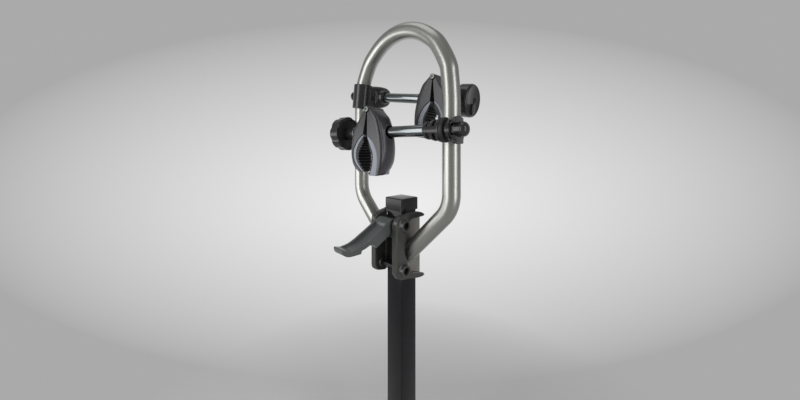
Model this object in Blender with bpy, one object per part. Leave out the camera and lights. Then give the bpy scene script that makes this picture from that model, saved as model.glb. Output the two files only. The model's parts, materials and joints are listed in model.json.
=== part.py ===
"""Upper mast of a hitch bike rack: sliding carriage, tube hoop and two frame-holder arms.

World frame: origin at the centre of the mast's foot, +Z up the mast, +X to the right leg of the
hoop, -Y to the front, where the cam lever points. All lengths are in metres.
"""
import math

import bmesh
import bpy
import numpy as np
from mathutils import Matrix, Vector

# General fits
MM = 0.001
REST_GAP = 0.3 * MM
PIN_CLEARANCE = 0.25 * MM

# Mast
MAST_SIDE = 42.0 * MM
MAST_WALL = 2.0 * MM
MAST_CORNER = 2.6 * MM
MAST_TOP = 598.0 * MM
FOOT_FLANGE = 4.0 * MM
FOOT_PLUG_DEPTH = 30.0 * MM
CAP_SIDE = MAST_SIDE + 6.0 * MM
CAP_TOP = 603.0 * MM
CAP_SKIRT = 25.5 * MM
CAP_CROWN = 1.2 * MM

# Sliding carriage
CARRIAGE_Z = 513.7 * MM
BOLT_PITCH = 84.0 * MM
BOLT_RADIUS = 4.0 * MM
LINER_WALL = 2.4 * MM
CHANNEL_WALL = 4.0 * MM
CHANNEL_HALF = MAST_SIDE / 2 + REST_GAP * 2 + LINER_WALL + CHANNEL_WALL
CHANNEL_TOP = 51.0 * MM
CHANNEL_BOTTOM = -65.5 * MM
CHANNEL_FRONT = -MAST_SIDE / 2 - 1.0 * MM
BRACKET_OUTER = CHANNEL_HALF + 9.0 * MM
CHEEK_INNER = CHANNEL_HALF - 4.0 * MM
HORN_FLARE = 15.0 * MM
HORN_TAPER = 4.0 * MM
BOSS_RADIUS = 11.0 * MM
BOSS_FACE = BRACKET_OUTER + 8.0 * MM
SOCKET_RADIUS = 7.2 * MM
SOCKET_DEPTH = 9.0 * MM
SOCKET_ACROSS = 9.0 * MM
SHOE_THICKNESS = 2.2 * MM
SHOE_HALF_WIDTH = 18.0 * MM

# Cam lever, in its own frame: u runs along the handle and v is up from it
LEVER_HALF = 19.2 * MM
LEVER_SLOPE = 27.0
LEVER_WALL = 5.0 * MM
LEVER_CURL = 100.0 * MM
CAM_HIGH = 7.6 * MM
CAM_LIFT = 0.9 * MM
CAM_LOW = CAM_HIGH - CAM_LIFT

# The cross bolts' line lies where the cam just clears the shoe; the brackets are drawn from it
BOLT_Y = -(MAST_SIDE / 2 + SHOE_THICKNESS + 2 * REST_GAP + CAM_HIGH)
BRACKET_FRONT = BOLT_Y - 18.6 * MM
HORN_START_Y = BOLT_Y + 11.4 * MM
HORN_TIP_Y = BOLT_Y + 44.1 * MM

# Hoop
HOOP_TUBE = 32.0 * MM
HOOP_WALL = 2.0 * MM
HOOP_HALF = 126.0 * MM
HOOP_RISE = 136.0 * MM
HOOP_Y = -5.0 * MM
HOOP_SPRING_Z = 800.0 * MM
HOOP_BEND = 60.0 * MM
HOOP_SLANT = 45.0
HOOP_FOOT_Z = CARRIAGE_Z - 15.3 * MM
HOOP_VERTEX_Z = HOOP_FOOT_Z + (HOOP_HALF - CHANNEL_HALF) * math.tan(math.radians(HOOP_SLANT))
LEAN_ANGLE = 7.9
LEAN_START_Z = 803.0 * MM
LEAN_END_Z = 847.0 * MM
SHOULDER_ANGLE = 40.0
SHOULDER_PUSH = 1.0 * MM

# Frame-holder arms
ROD_RADIUS = 10.25 * MM
ROD_CAP_RADIUS = 11.8 * MM
ARM_A = {"leg": -1, "turn": 6.0, "back": 36.5 * MM, "z": 824.7 * MM, "reach": 175.6 * MM,
         "tail": -68.0 * MM, "knob": (60.0 * MM, 83.0 * MM), "knob_radius": 31.5 * MM,
         "knob_edge": 4.5 * MM}
ARM_B = {"leg": 1, "turn": 10.0, "back": -35.0 * MM, "z": 730.8 * MM, "reach": 138.6 * MM,
         "tail": -29.0 * MM, "knob": (67.0 * MM, 88.0 * MM), "knob_radius": 34.0 * MM,
         "knob_edge": 3.0 * MM}

COLLAR_A_LOW = -32.0 * MM
COLLAR_A_HIGH = 23.5 * MM
COLLAR_B_HALF = 17.5 * MM
COLLAR_B_TALL = 22.3 * MM
COLLAR_B_RADIUS = 20.6 * MM
CONE_INNER_END = -7.6 * MM
CONE_OUTER_END = -18.0 * MM
CONE_RADIUS = 22.2 * MM
COLLAR_SLOT = 9.5 * MM

# Clamp, in its own frame: a runs along the rod to the knob, n is away from its front face
PIN_HEIGHT = 43.0 * MM
PIN_RADIUS = 3.0 * MM
KNUCKLE_RADIUS = 5.4 * MM
CLAMP_HALF_DEPTH = 22.0 * MM
LINER_DEPTH = 20.5 * MM
PAD_DEPTH = 19.5 * MM
PAD_RIBS = 11
RIB_HEIGHT = 2.6 * MM
STUD_RADIUS = 4.0 * MM
STUD_SWING = 6.5 * MM
BOSS_END = 37.5 * MM
BOSS_RECESS = 4.0 * MM
KNOB_RECESS = 3.0 * MM
KNOB_DISH = 0.9 * MM
KNOB_FLUTES = 8
ROCKER_RADIUS = 12.0 * MM
ROCKER_CENTRE = 31.0 * MM
WASHER_RADIUS = 13.2 * MM
WASHER_THICKNESS = 4.0 * MM

# Colours: base colour, roughness, metallic
FINISHES = {
    "mast_black": ((0.016, 0.016, 0.018), 0.55, 0.0),
    "cap_plastic": ((0.030, 0.030, 0.033), 0.45, 0.0),
    "channel_grey": ((0.30, 0.30, 0.29), 0.45, 0.6),
    "liner_black": ((0.02, 0.02, 0.02), 0.5, 0.0),
    "cast_black": ((0.035, 0.036, 0.036), 0.42, 0.0),
    "bolt_black": ((0.05, 0.05, 0.05), 0.35, 0.8),
    "hoop_silver": ((0.50, 0.50, 0.48), 0.30, 1.0),
    "lever_grey": ((0.060, 0.064, 0.066), 0.42, 0.0),
    "rod_steel": ((0.48, 0.51, 0.52), 0.18, 1.0),
    "clamp_black": ((0.045, 0.045, 0.047), 0.45, 0.0),
    "liner_bluegrey": ((0.27, 0.28, 0.32), 0.5, 0.0),
    "pad_rubber": ((0.012, 0.012, 0.013), 0.7, 0.0),
    "pin_zinc": ((0.55, 0.57, 0.54), 0.3, 1.0),
    "knob_black": ((0.035, 0.035, 0.036), 0.4, 0.0),
    "lock_metal": ((0.10, 0.10, 0.10), 0.3, 0.9),
}


def clear_scene():
    for obj in list(bpy.data.objects):
        bpy.data.objects.remove(obj, do_unlink=True)


def material(name):
    found = bpy.data.materials.get(name)
    if found:
        return found
    colour, roughness, metallic = FINISHES[name]
    made = bpy.data.materials.new(name)
    made.use_nodes = True
    shader = made.node_tree.nodes["Principled BSDF"]
    shader.inputs["Base Color"].default_value = (*colour, 1.0)
    shader.inputs["Roughness"].default_value = roughness
    shader.inputs["Metallic"].default_value = metallic
    made.diffuse_color = (*colour, 1.0)
    return made


# Meshes and objects

def add_object(name, bm, finish=None, smooth=30.0):
    """Makes an object from a bmesh; edges sharper than the smooth angle stay crisp."""
    bmesh.ops.remove_doubles(bm, verts=bm.verts, dist=1e-6)
    bmesh.ops.recalc_face_normals(bm, faces=bm.faces)
    if bm.calc_volume(signed=True) < 0:
        bmesh.ops.reverse_faces(bm, faces=bm.faces)
    for face in bm.faces:
        face.smooth = True
    for edge in bm.edges:
        edge.smooth = edge.calc_face_angle(math.pi) < math.radians(smooth)
    mesh = bpy.data.meshes.new(name)
    bm.to_mesh(mesh)
    bm.free()
    obj = bpy.data.objects.new(name, mesh)
    bpy.context.scene.collection.objects.link(obj)
    if finish:
        mesh.materials.append(material(finish))
    return obj


def place(obj, frame):
    """Puts the object in a frame, so that its origin is the frame's."""
    obj.matrix_world = frame
    return obj


def combine(target, others, operation):
    """Applies one exact boolean with each of the other objects, which are then removed."""
    for other in others:
        modifier = target.modifiers.new("combine", "BOOLEAN")
        modifier.operation = operation
        modifier.solver = "EXACT"
        modifier.object = other
        bpy.context.view_layer.update()
        evaluated = target.evaluated_get(bpy.context.evaluated_depsgraph_get())
        bm = bmesh.new()
        bm.from_mesh(evaluated.to_mesh())
        evaluated.to_mesh_clear()
        target.modifiers.remove(modifier)
        bmesh.ops.remove_doubles(bm, verts=bm.verts, dist=2e-6)
        bmesh.ops.dissolve_degenerate(bm, edges=bm.edges, dist=2e-6)
        bmesh.ops.recalc_face_normals(bm, faces=bm.faces)
        for face in bm.faces:
            face.smooth = True
        for edge in bm.edges:
            edge.smooth = edge.calc_face_angle(math.pi) < math.radians(30)
        bm.to_mesh(target.data)
        bm.free()
        bpy.data.objects.remove(other, do_unlink=True)
    return target


def cut(target, *others):
    return combine(target, others, "DIFFERENCE")


def join(target, *others):
    return combine(target, others, "UNION")


def bevel(bm, width, angle=40.0, segments=2, keep=None):
    """Rounds every edge sharper than the angle for which keep(edge) is true."""
    chosen = [edge for edge in bm.edges if len(edge.link_faces) == 2
              and edge.calc_face_angle(0.0) > math.radians(angle) and (keep is None or keep(edge))]
    bmesh.ops.bevel(bm, geom=chosen, offset=width, offset_type="OFFSET", segments=segments, profile=0.5,
                    affect="EDGES", clamp_overlap=True, material=-1)


def axes(origin, x_axis, z_axis):
    """A frame at origin whose local X and Z run along the two directions."""
    x = Vector(x_axis).normalized()
    z = Vector(z_axis)
    z = (z - x * z.dot(x)).normalized()
    y = z.cross(x)
    rotation = Matrix((x, y, z)).transposed().to_4x4()
    return Matrix.Translation(Vector(origin)) @ rotation


def arc(centre, radius, start, end, steps):
    """Points of an arc from start to end degrees, both ends included."""
    return [(centre[0] + radius * math.cos(math.radians(start + (end - start) * i / steps)),
             centre[1] + radius * math.sin(math.radians(start + (end - start) * i / steps)))
            for i in range(steps + 1)]


def spline(points, steps):
    """Catmull-Rom curve through the points, open at both ends."""
    knots = [Vector(p) for p in points]
    knots = [knots[0] * 2 - knots[1]] + knots + [knots[-1] * 2 - knots[-2]]
    curve = []
    for p0, p1, p2, p3 in zip(knots, knots[1:], knots[2:], knots[3:]):
        for i in range(steps):
            t = i / steps
            curve.append(0.5 * (2 * p1 + (p2 - p0) * t + (2 * p0 - 5 * p1 + 4 * p2 - p3) * t ** 2
                                + (3 * p1 - p0 - 3 * p2 + p3) * t ** 3))
    return [tuple(p) for p in curve] + [tuple(knots[-2])]


def rounded_square(side, corner, steps=3):
    """Outline of a square with round corners, anticlockwise from its right side."""
    half = side / 2 - corner
    outline = []
    for i, (x, y) in enumerate(((half, half), (-half, half), (-half, -half), (half, -half))):
        outline += arc((x, y), corner, 90 * i, 90 * i + 90, steps)
    return outline


def prism(outline, low, high, axis="z"):
    """Closed prism: the outline lies in the plane across the axis, x-y, y-z or x-z."""
    order = {"z": lambda p, w: (p[0], p[1], w), "x": lambda p, w: (w, p[0], p[1]),
             "y": lambda p, w: (p[0], w, p[1])}[axis]
    bm = bmesh.new()
    bottom = [bm.verts.new(order(p, low)) for p in outline]
    top = [bm.verts.new(order(p, high)) for p in outline]
    bm.faces.new(bottom[::-1])
    bm.faces.new(top)
    for i in range(len(outline)):
        j = (i + 1) % len(outline)
        bm.faces.new((bottom[i], bottom[j], top[j], top[i]))
    bmesh.ops.recalc_face_normals(bm, faces=bm.faces)
    return bm


def box(low, high):
    outline = [(low[0], low[1]), (high[0], low[1]), (high[0], high[1]), (low[0], high[1])]
    return prism(outline, low[2], high[2])


def lathe(profile, segments=32, closed=False):
    """Turns (x, radius) points about the local X axis; a closed profile makes a ring."""
    bm = bmesh.new()
    rings = []
    for x, radius in profile:
        if radius < 1e-9:
            rings.append([bm.verts.new((x, 0, 0))])
            continue
        rings.append([bm.verts.new((x, radius * math.cos(2 * math.pi * i / segments),
                                    radius * math.sin(2 * math.pi * i / segments)))
                      for i in range(segments)])
    pairs = list(zip(rings, rings[1:]))
    if closed:
        pairs.append((rings[-1], rings[0]))
    for one, two in pairs:
        for i in range(segments):
            j = (i + 1) % segments
            corners = [one[i % len(one)], one[j % len(one)], two[j % len(two)], two[i % len(two)]]
            unique = list(dict.fromkeys(corners))
            if len(unique) > 2:
                bm.faces.new(unique)
    if not closed:
        for ring in (rings[0], rings[-1]):
            if len(ring) > 2:
                bm.faces.new(ring)
    bmesh.ops.recalc_face_normals(bm, faces=bm.faces)
    return bm


def rod_along(start, end, radius, segments=14):
    """A plain cylinder cutter between two points."""
    start, end = Vector(start), Vector(end)
    side = Vector((0, 0, 1)) if abs((end - start).normalized().z) < 0.9 else Vector((1, 0, 0))
    obj = add_object("tool", lathe([(0, radius), ((end - start).length, radius)], segments))
    return place(obj, axes(start, end - start, side))


def tool(bm, frame=None):
    obj = add_object("tool", bm)
    return place(obj, frame) if frame else obj


def loft(sections):
    """Closed solid through equal rings of points, capped at both ends."""
    bm = bmesh.new()
    rings = [[bm.verts.new(p) for p in section] for section in sections]
    for one, two in zip(rings, rings[1:]):
        for i in range(len(one)):
            j = (i + 1) % len(one)
            bm.faces.new((one[i], one[j], two[j], two[i]))
    bm.faces.new(rings[0][::-1])
    bm.faces.new(rings[-1])
    bmesh.ops.recalc_face_normals(bm, faces=bm.faces)
    return bm


# Mast

def build_mast():
    tube = add_object("mast_tube", prism(rounded_square(MAST_SIDE, MAST_CORNER), FOOT_FLANGE + REST_GAP,
                                         MAST_TOP), "mast_black")
    bore_side = MAST_SIDE - 2 * MAST_WALL
    bore_corner = MAST_CORNER - MAST_WALL
    bore = prism(rounded_square(bore_side, bore_corner), -MM, MAST_TOP + MM)
    cut(tube, tool(bore))

    cap = prism(rounded_square(CAP_SIDE, MAST_CORNER), CAP_TOP - CAP_SKIRT, CAP_TOP - CAP_CROWN)
    bevel(cap, 1.2 * MM, keep=lambda e: min(v.co.z for v in e.verts) > CAP_TOP - CAP_CROWN - 1e-6)
    cap = add_object("mast_cap", cap, "cap_plastic")
    crown = [rounded_square(CAP_SIDE - 2.6 * MM, MAST_CORNER), rounded_square(CAP_SIDE / 2, MAST_CORNER)]
    heights = (CAP_TOP - CAP_CROWN - 0.2 * MM, CAP_TOP)
    join(cap, tool(loft([[(x, y, z) for x, y in ring] for ring, z in zip(crown, heights)])))
    recess = rounded_square(MAST_SIDE + 2 * REST_GAP, MAST_CORNER + REST_GAP)
    cut(cap, tool(prism(recess, CAP_TOP - CAP_SKIRT - MM, MAST_TOP + REST_GAP)))

    plug = add_object("mast_foot_plug", prism(rounded_square(MAST_SIDE, MAST_CORNER), 0.0, FOOT_FLANGE),
                      "cap_plastic")
    stem = rounded_square(bore_side - 2 * REST_GAP, bore_corner)
    join(plug, tool(prism(stem, FOOT_FLANGE - MM, FOOT_PLUG_DEPTH)))
    hollow = rounded_square(bore_side - 6 * MM, bore_corner)
    cut(plug, tool(prism(hollow, FOOT_FLANGE, FOOT_PLUG_DEPTH + MM)))


# Carriage

def u_outline(outer, inner, front):
    """Channel open to the front, seen from above, with round rear corners."""
    wall = outer - inner
    outline = [(outer, front)]
    outline += arc((outer - 1.5 * wall, outer - 1.5 * wall), 1.5 * wall, 0, 90, 4)
    outline += arc((-outer + 1.5 * wall, outer - 1.5 * wall), 1.5 * wall, 90, 180, 4)
    outline += [(-outer, front), (-inner, front)]
    outline += arc((-inner + 0.5 * wall, inner - 0.5 * wall), 0.5 * wall, 180, 90, 3)
    outline += arc((inner - 0.5 * wall, inner - 0.5 * wall), 0.5 * wall, 90, 0, 3)
    outline += [(inner, front)]
    return outline


def bolt_height(side):
    """Height of the upper (+1) or lower (-1) cross bolt."""
    return CARRIAGE_Z + side * BOLT_PITCH / 2


def build_channel():
    inner = CHANNEL_HALF - CHANNEL_WALL
    low, high = CARRIAGE_Z + CHANNEL_BOTTOM, CARRIAGE_Z + CHANNEL_TOP
    channel = add_object("carriage_channel", prism(u_outline(CHANNEL_HALF, inner, CHANNEL_FRONT), low, high),
                         "channel_grey")
    corner = [(-60 * MM, low - 5 * MM), (-60 * MM, low + 17 * MM), (CHANNEL_FRONT, low + 17 * MM),
              (CHANNEL_FRONT + 22 * MM, low - 5 * MM)]
    cut(channel, tool(prism(corner, -60 * MM, 60 * MM, "x")))
    mast_gap = MAST_SIDE / 2 + REST_GAP
    liner = prism(u_outline(mast_gap + LINER_WALL, mast_gap, -MAST_SIDE / 2 + 1.5 * MM), low + MM, high - MM)
    liner = add_object("guide_liner", liner, "liner_black")
    cut(liner, tool(prism(corner, -60 * MM, 60 * MM, "x")))


def bracket_outline():
    """Side view of one bracket as (behind the bolts, height): a spine with a horn at each end."""
    upper = [(-15.1, 54.5), (-6.6, 59), (11.4, 62.5), (29.4, 64.4), (39.4, 62.6), (44.1, 58.6)]
    under = [(42.4, 55.4), (33.4, 53.0), (22.4, 51.0), (15.6, 46.0), (12.8, 38.0), (12.0, 31.5),
             (8.8, 23.5), (4.8, 13.0), (3.0, 0.0)]
    top = spline([(y * MM, z * MM) for y, z in upper], 2)
    inner = spline([(y * MM, z * MM) for y, z in under], 2)
    corner = [(-18.6 * MM, 46 * MM), (-17.6 * MM, 51 * MM)]
    half = corner + top + inner
    return half + [(y, -z) for y, z in reversed(half[:-1])]


def build_bracket(name, side):
    """Cast side bracket. It is made on the right and mirrored for the left one."""
    inner = CHANNEL_HALF + REST_GAP
    outline = [(BOLT_Y + y, CARRIAGE_Z + z) for y, z in bracket_outline()]
    bm = prism(outline, inner, BRACKET_OUTER, "x")
    bevel(bm, 1.6 * MM, angle=60, segments=1,
          keep=lambda e: all(v.co.x > BRACKET_OUTER - 1e-6 for v in e.verts))
    span = HORN_TIP_Y - HORN_START_Y
    for i in range(5):
        bmesh.ops.bisect_plane(bm, geom=bm.verts[:] + bm.edges[:] + bm.faces[:], dist=1e-7,
                               plane_co=(0, HORN_START_Y + span * i / 5, 0), plane_no=(0, 1, 0))
    for vert in bm.verts:
        if vert.co.y <= HORN_START_Y:
            continue
        reach = (vert.co.y - HORN_START_Y) / span
        thick = (vert.co.x - inner) / (BRACKET_OUTER - inner)
        vert.co.x += HORN_FLARE * reach ** 1.6 + HORN_TAPER * (1 - thick) * reach
    bmesh.ops.triangulate(bm, faces=bm.faces)
    bracket = add_object(name, bm, "cast_black")

    back = CHANNEL_FRONT - REST_GAP
    cheek = [(BRACKET_FRONT, 45 * MM), (BRACKET_FRONT + 4.5 * MM, 53.5 * MM),
             (BRACKET_FRONT + 12.5 * MM, 58 * MM), (back, 61 * MM)]
    cheek += [(y, -z) for y, z in reversed(cheek)]
    cheek = prism([(y, CARRIAGE_Z + z) for y, z in cheek], CHEEK_INNER, inner + 1.7 * MM, "x")
    join(bracket, tool(cheek))
    for end in (1, -1):
        z = bolt_height(end)
        boss = [(inner + MM, BOSS_RADIUS), (BOSS_FACE - 1.2 * MM, BOSS_RADIUS - 0.6 * MM),
                (BOSS_FACE, BOSS_RADIUS - 1.8 * MM)]
        join(bracket, tool(lathe(boss, 16), axes((0, BOLT_Y, z), (1, 0, 0), (0, 0, 1))))
        recess = rod_along((BOSS_FACE - SOCKET_DEPTH, BOLT_Y, z), (BOSS_FACE + MM, BOLT_Y, z), SOCKET_RADIUS)
        cut(bracket, recess, rod_along((0, BOLT_Y, z), (BOSS_FACE, BOLT_Y, z), BOLT_RADIUS + PIN_CLEARANCE))
    if side < 0:
        mirror(bracket)
    return bracket


def mirror(obj):
    """Mirrors the mesh across the mast's own centre plane."""
    bm = bmesh.new()
    bm.from_mesh(obj.data)
    for vert in bm.verts:
        vert.co.x = -vert.co.x
    bmesh.ops.reverse_faces(bm, faces=bm.faces)
    bm.to_mesh(obj.data)
    bm.free()


def hexagon(across, steps=6):
    return [(across / math.sqrt(3) * math.cos(math.radians(60 * i)),
             across / math.sqrt(3) * math.sin(math.radians(60 * i))) for i in range(steps)]


def build_cross_bolt(name, nut_name, z):
    """Socket-head bolt from the right bracket to a hexagon nut in the left bracket's recess."""
    seat = BOSS_FACE - SOCKET_DEPTH + REST_GAP
    head = BOSS_FACE - 1.0 * MM
    head_radius = SOCKET_RADIUS - 0.5 * MM
    frame = axes((0, BOLT_Y, z), (1, 0, 0), (0, 0, 1))
    profile = [(-seat - 5.5 * MM, 0), (-seat - 5.5 * MM, BOLT_RADIUS), (seat, BOLT_RADIUS),
               (seat, head_radius), (head - 0.8 * MM, head_radius), (head, head_radius - 0.8 * MM), (head, 0)]
    bolt = place(add_object(name, lathe(profile, 18), "bolt_black"), frame)
    cut(bolt, tool(prism(hexagon(SOCKET_ACROSS), head - 5.0 * MM, head + MM, "x"), frame))

    nut = add_object(nut_name, prism(hexagon(12.0 * MM), -seat - 6.5 * MM, -seat, "x"), "bolt_black")
    place(nut, frame)
    cut(nut, rod_along((-60 * MM, BOLT_Y, z), (0, BOLT_Y, z), BOLT_RADIUS + PIN_CLEARANCE))


def build_spacers():
    """Two thick washers on the lower bolt, against the brackets' cheeks."""
    face = CHEEK_INNER - REST_GAP
    ring = [(LEVER_HALF + 0.4 * MM, BOLT_RADIUS + PIN_CLEARANCE), (LEVER_HALF + 0.4 * MM, 8.6 * MM),
            (face, 10.0 * MM), (face, BOLT_RADIUS + PIN_CLEARANCE)]
    for name, direction in (("spacer_right", 1), ("spacer_left", -1)):
        frame = axes((0, BOLT_Y, bolt_height(-1)), (direction, 0, 0), (0, 0, 1))
        place(add_object(name, lathe(ring, 18, closed=True), "cast_black"), frame)


def build_shoe():
    """Flat brake shoe between the lever's cam and the mast."""
    front = -MAST_SIDE / 2 - REST_GAP
    bm = box((-SHOE_HALF_WIDTH, front - SHOE_THICKNESS, CARRIAGE_Z + 8 * MM),
             (SHOE_HALF_WIDTH, front, CARRIAGE_Z + CHANNEL_TOP - 2 * MM))
    bevel(bm, 0.5 * MM, segments=1)
    add_object("pressure_shoe", bm, "liner_black")


def lean_x(z):
    """Distance of the hoop's centre line from the middle on its straight, leaning shoulder."""
    return HOOP_HALF - (z - LEAN_START_Z) * math.tan(math.radians(LEAN_ANGLE))


def hoop_path():
    """Centre line of the hoop as points, from the left foot over the top to the right foot."""
    tangent = HOOP_BEND * math.tan(math.radians(HOOP_SLANT / 2))
    foot_x = CHANNEL_HALF / 2
    foot_z = HOOP_VERTEX_Z - (HOOP_HALF - foot_x) * math.tan(math.radians(HOOP_SLANT))
    bend = arc((HOOP_HALF - HOOP_BEND, HOOP_VERTEX_Z + tangent), HOOP_BEND, 0, -HOOP_SLANT, 5)
    leg = [(foot_x, foot_z)] + bend[::-1] + [(HOOP_HALF, LEAN_START_Z - 14 * MM)]
    shoulder = [(lean_x(z), z) for z in (LEAN_START_Z + 2 * MM, LEAN_END_Z - 10 * MM, LEAN_END_Z)]
    crown = [(HOOP_HALF * math.cos(math.radians(t)), HOOP_SPRING_Z + HOOP_RISE * math.sin(math.radians(t)))
             for t in np.linspace(SHOULDER_ANGLE, 90, 5)]
    push = math.radians(SHOULDER_ANGLE)
    crown[0] = (crown[0][0] + SHOULDER_PUSH * math.cos(push), crown[0][1] + SHOULDER_PUSH * math.sin(push))
    over = spline([shoulder[-2], shoulder[-1]] + crown + [(-crown[-2][0], crown[-2][1])], 2)[2:-2]
    right = leg + shoulder[:2] + over
    left = [(-x, z) for x, z in right]
    return [Vector((x, HOOP_Y, z)) for x, z in left + right[-2::-1]]


def swept_tube(path, radius, segments):
    """Closed round bar along a path that stays in one plane across Y."""
    sections = []
    for i, point in enumerate(path):
        before = path[max(i - 1, 0)]
        after = path[min(i + 1, len(path) - 1)]
        along = (after - before).normalized()
        side = Vector((0, 1, 0))
        out = along.cross(side)
        one = (point - before).normalized() if i else along
        stretch = 1.0 / max(one.dot(along), 0.5)
        sections.append([point + side * radius * math.cos(2 * math.pi * k / segments)
                         + out * radius * stretch * math.sin(2 * math.pi * k / segments)
                         for k in range(segments)])
    return loft(sections)


def build_hoop():
    path = hoop_path()
    hoop = add_object("hoop_tube", swept_tube(path, HOOP_TUBE / 2, 20), "hoop_silver")
    inside = [path[0] + (path[0] - path[1]).normalized() * MM] + path[1:-1]
    inside.append(path[-1] + (path[-1] - path[-2]).normalized() * MM)
    cut(hoop, tool(swept_tube(inside, HOOP_TUBE / 2 - HOOP_WALL, 10)))
    face = CHANNEL_HALF + REST_GAP
    cut(hoop, tool(box((-face, -60 * MM, 400 * MM), (face, 60 * MM, 560 * MM))))


# Cam lever

def lever_frame():
    """Local X runs down the handle, local Y is up from it and local Z is across the rack."""
    slope = math.radians(LEVER_SLOPE)
    along = Vector((0, -math.cos(slope), -math.sin(slope)))
    return axes((0, BOLT_Y, bolt_height(1)), along, (-1, 0, 0))


def build_lever():
    """Trough-shaped cam lever: deep walls at the root, a notch for the lower bolt, a curled tip."""
    top = [(6, 15.2), (30, 15.4), (60, 15.4), (86, 16.4), (104, 22.0), (115, 31.5), (119.5, 37.5)]
    under = [(120.5, 34.5), (116.5, 24.5), (109, 14.5), (100, 8.2), (93.5, 6.2)]
    notch = [(88.5, 10.5), (82, 8.6), (70, 6.6), (64, 2.0), (61, -7.4)]
    root = [(26, -7.4), (10, -7.4)]
    cam = arc((0, 0), CAM_HIGH / MM, -75, -118, 5) + arc((0, 0), CAM_LOW / MM, -135, -225, 8)
    crown = [(-0.8, 11.0)]
    outline = spline(top, 3) + spline(under, 3) + spline(notch[:3], 2) + notch[3:] + root + cam + crown
    bm = prism([(u * MM, v * MM) for u, v in outline], -LEVER_HALF, LEVER_HALF)
    bevel(bm, 1.5 * MM, angle=70, keep=lambda e: min(abs(v.co.z) for v in e.verts) > LEVER_HALF - 1e-6
          and min(v.co.x for v in e.verts) > CAM_HIGH)
    for vert in bm.verts:
        beyond = max(0.0, (vert.co.x - LEVER_CURL) / (20 * MM))
        vert.co.z *= 1.0 - 0.16 * beyond ** 2
    lever = place(add_object("cam_lever", bm, "lever_grey"), lever_frame())

    trough_top = [(20, 30), (20, 14), (24, 10.6), (62, 10.2), (88, 11.4), (101, 16.4), (109, 25), (109, 40)]
    room = LEVER_HALF - LEVER_WALL
    trough = prism([(u * MM, v * MM) for u, v in trough_top], -room, room)
    bevel(trough, 3.0 * MM, angle=60, segments=2, keep=lambda e: max(v.co.y for v in e.verts) < 26 * MM
          and min(abs(v.co.z) for v in e.verts) > room - 1e-6)
    hollow = [(14, -12), (14, 2.0), (22, 6.4), (58, 6.4), (58, -12)]
    belly = prism([(u * MM, v * MM) for u, v in hollow], -room - MM, room + MM)
    cut(lever, tool(trough, lever_frame()), tool(belly, lever_frame()))
    z = bolt_height(1)
    cut(lever, rod_along((-40 * MM, BOLT_Y, z), (40 * MM, BOLT_Y, z), BOLT_RADIUS + PIN_CLEARANCE))


# Frame-holder arms

def leg_axis(arm):
    """Direction of the hoop's leg inside the arm's collar: the left leg leans inward there."""
    lean = math.radians(LEAN_ANGLE) if arm is ARM_A else 0.0
    return Vector((math.sin(lean), 0, math.cos(lean)))


def leg_point(arm):
    """Centre of the hoop's leg at the height of the arm's rod."""
    x = lean_x(arm["z"]) if arm is ARM_A else HOOP_HALF
    return Vector((arm["leg"] * x, HOOP_Y, arm["z"]))


def leg_frame(arm):
    """Local X up the leg, local Z to the rear."""
    return axes(leg_point(arm), leg_axis(arm), (0, 1, 0))


def rod_frame(arm, along=0.0):
    """Frame on the rod's axis: X to the knob, Z up, origin beside the leg plus a distance along it."""
    up = leg_axis(arm)
    inward = Vector((0, 1, 0)).cross(up) * -arm["leg"]
    turn = math.radians(arm["turn"])
    rear = 1 if arm["back"] > 0 else -1
    direction = inward * math.cos(turn) + Vector((0, rear * math.sin(turn), 0))
    start = leg_point(arm) + Vector((0, arm["back"], 0))
    return axes(start + direction * along, direction, up)


def clamp_frame(arm):
    """Frame at the clamp's slit: X (a) to the knob, Y (n) to the rear of the clamp, Z up."""
    frame = rod_frame(arm, arm["reach"])
    if arm is ARM_B:
        frame = frame @ Matrix.Scale(-1, 4, (0, 1, 0))
    return frame


def put_clamp_piece(obj, arm, pivot=(0, 0, 0)):
    """Places a piece made in the clamp frame; on arm B the frame is left-handed, so faces turn over."""
    frame = clamp_frame(arm)
    bm = bmesh.new()
    bm.from_mesh(obj.data)
    if arm is ARM_B:
        for vert in bm.verts:
            vert.co.y = -vert.co.y
        bmesh.ops.reverse_faces(bm, faces=bm.faces)
    for vert in bm.verts:
        vert.co -= Vector(pivot)
    bm.to_mesh(obj.data)
    bm.free()
    return place(obj, rod_frame(arm, arm["reach"]) @ Matrix.Translation(Vector(pivot)))


def superellipse(half_width, half_height, steps, power=2.6):
    """Closed outline between a circle and a square, as (across, up)."""
    outline = []
    for i in range(steps):
        turn = 2 * math.pi * i / steps
        c, d = math.cos(turn), math.sin(turn)
        outline.append((math.copysign(abs(c) ** (2 / power), c) * half_width,
                        math.copysign(abs(d) ** (2 / power), d) * half_height))
    return outline


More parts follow.
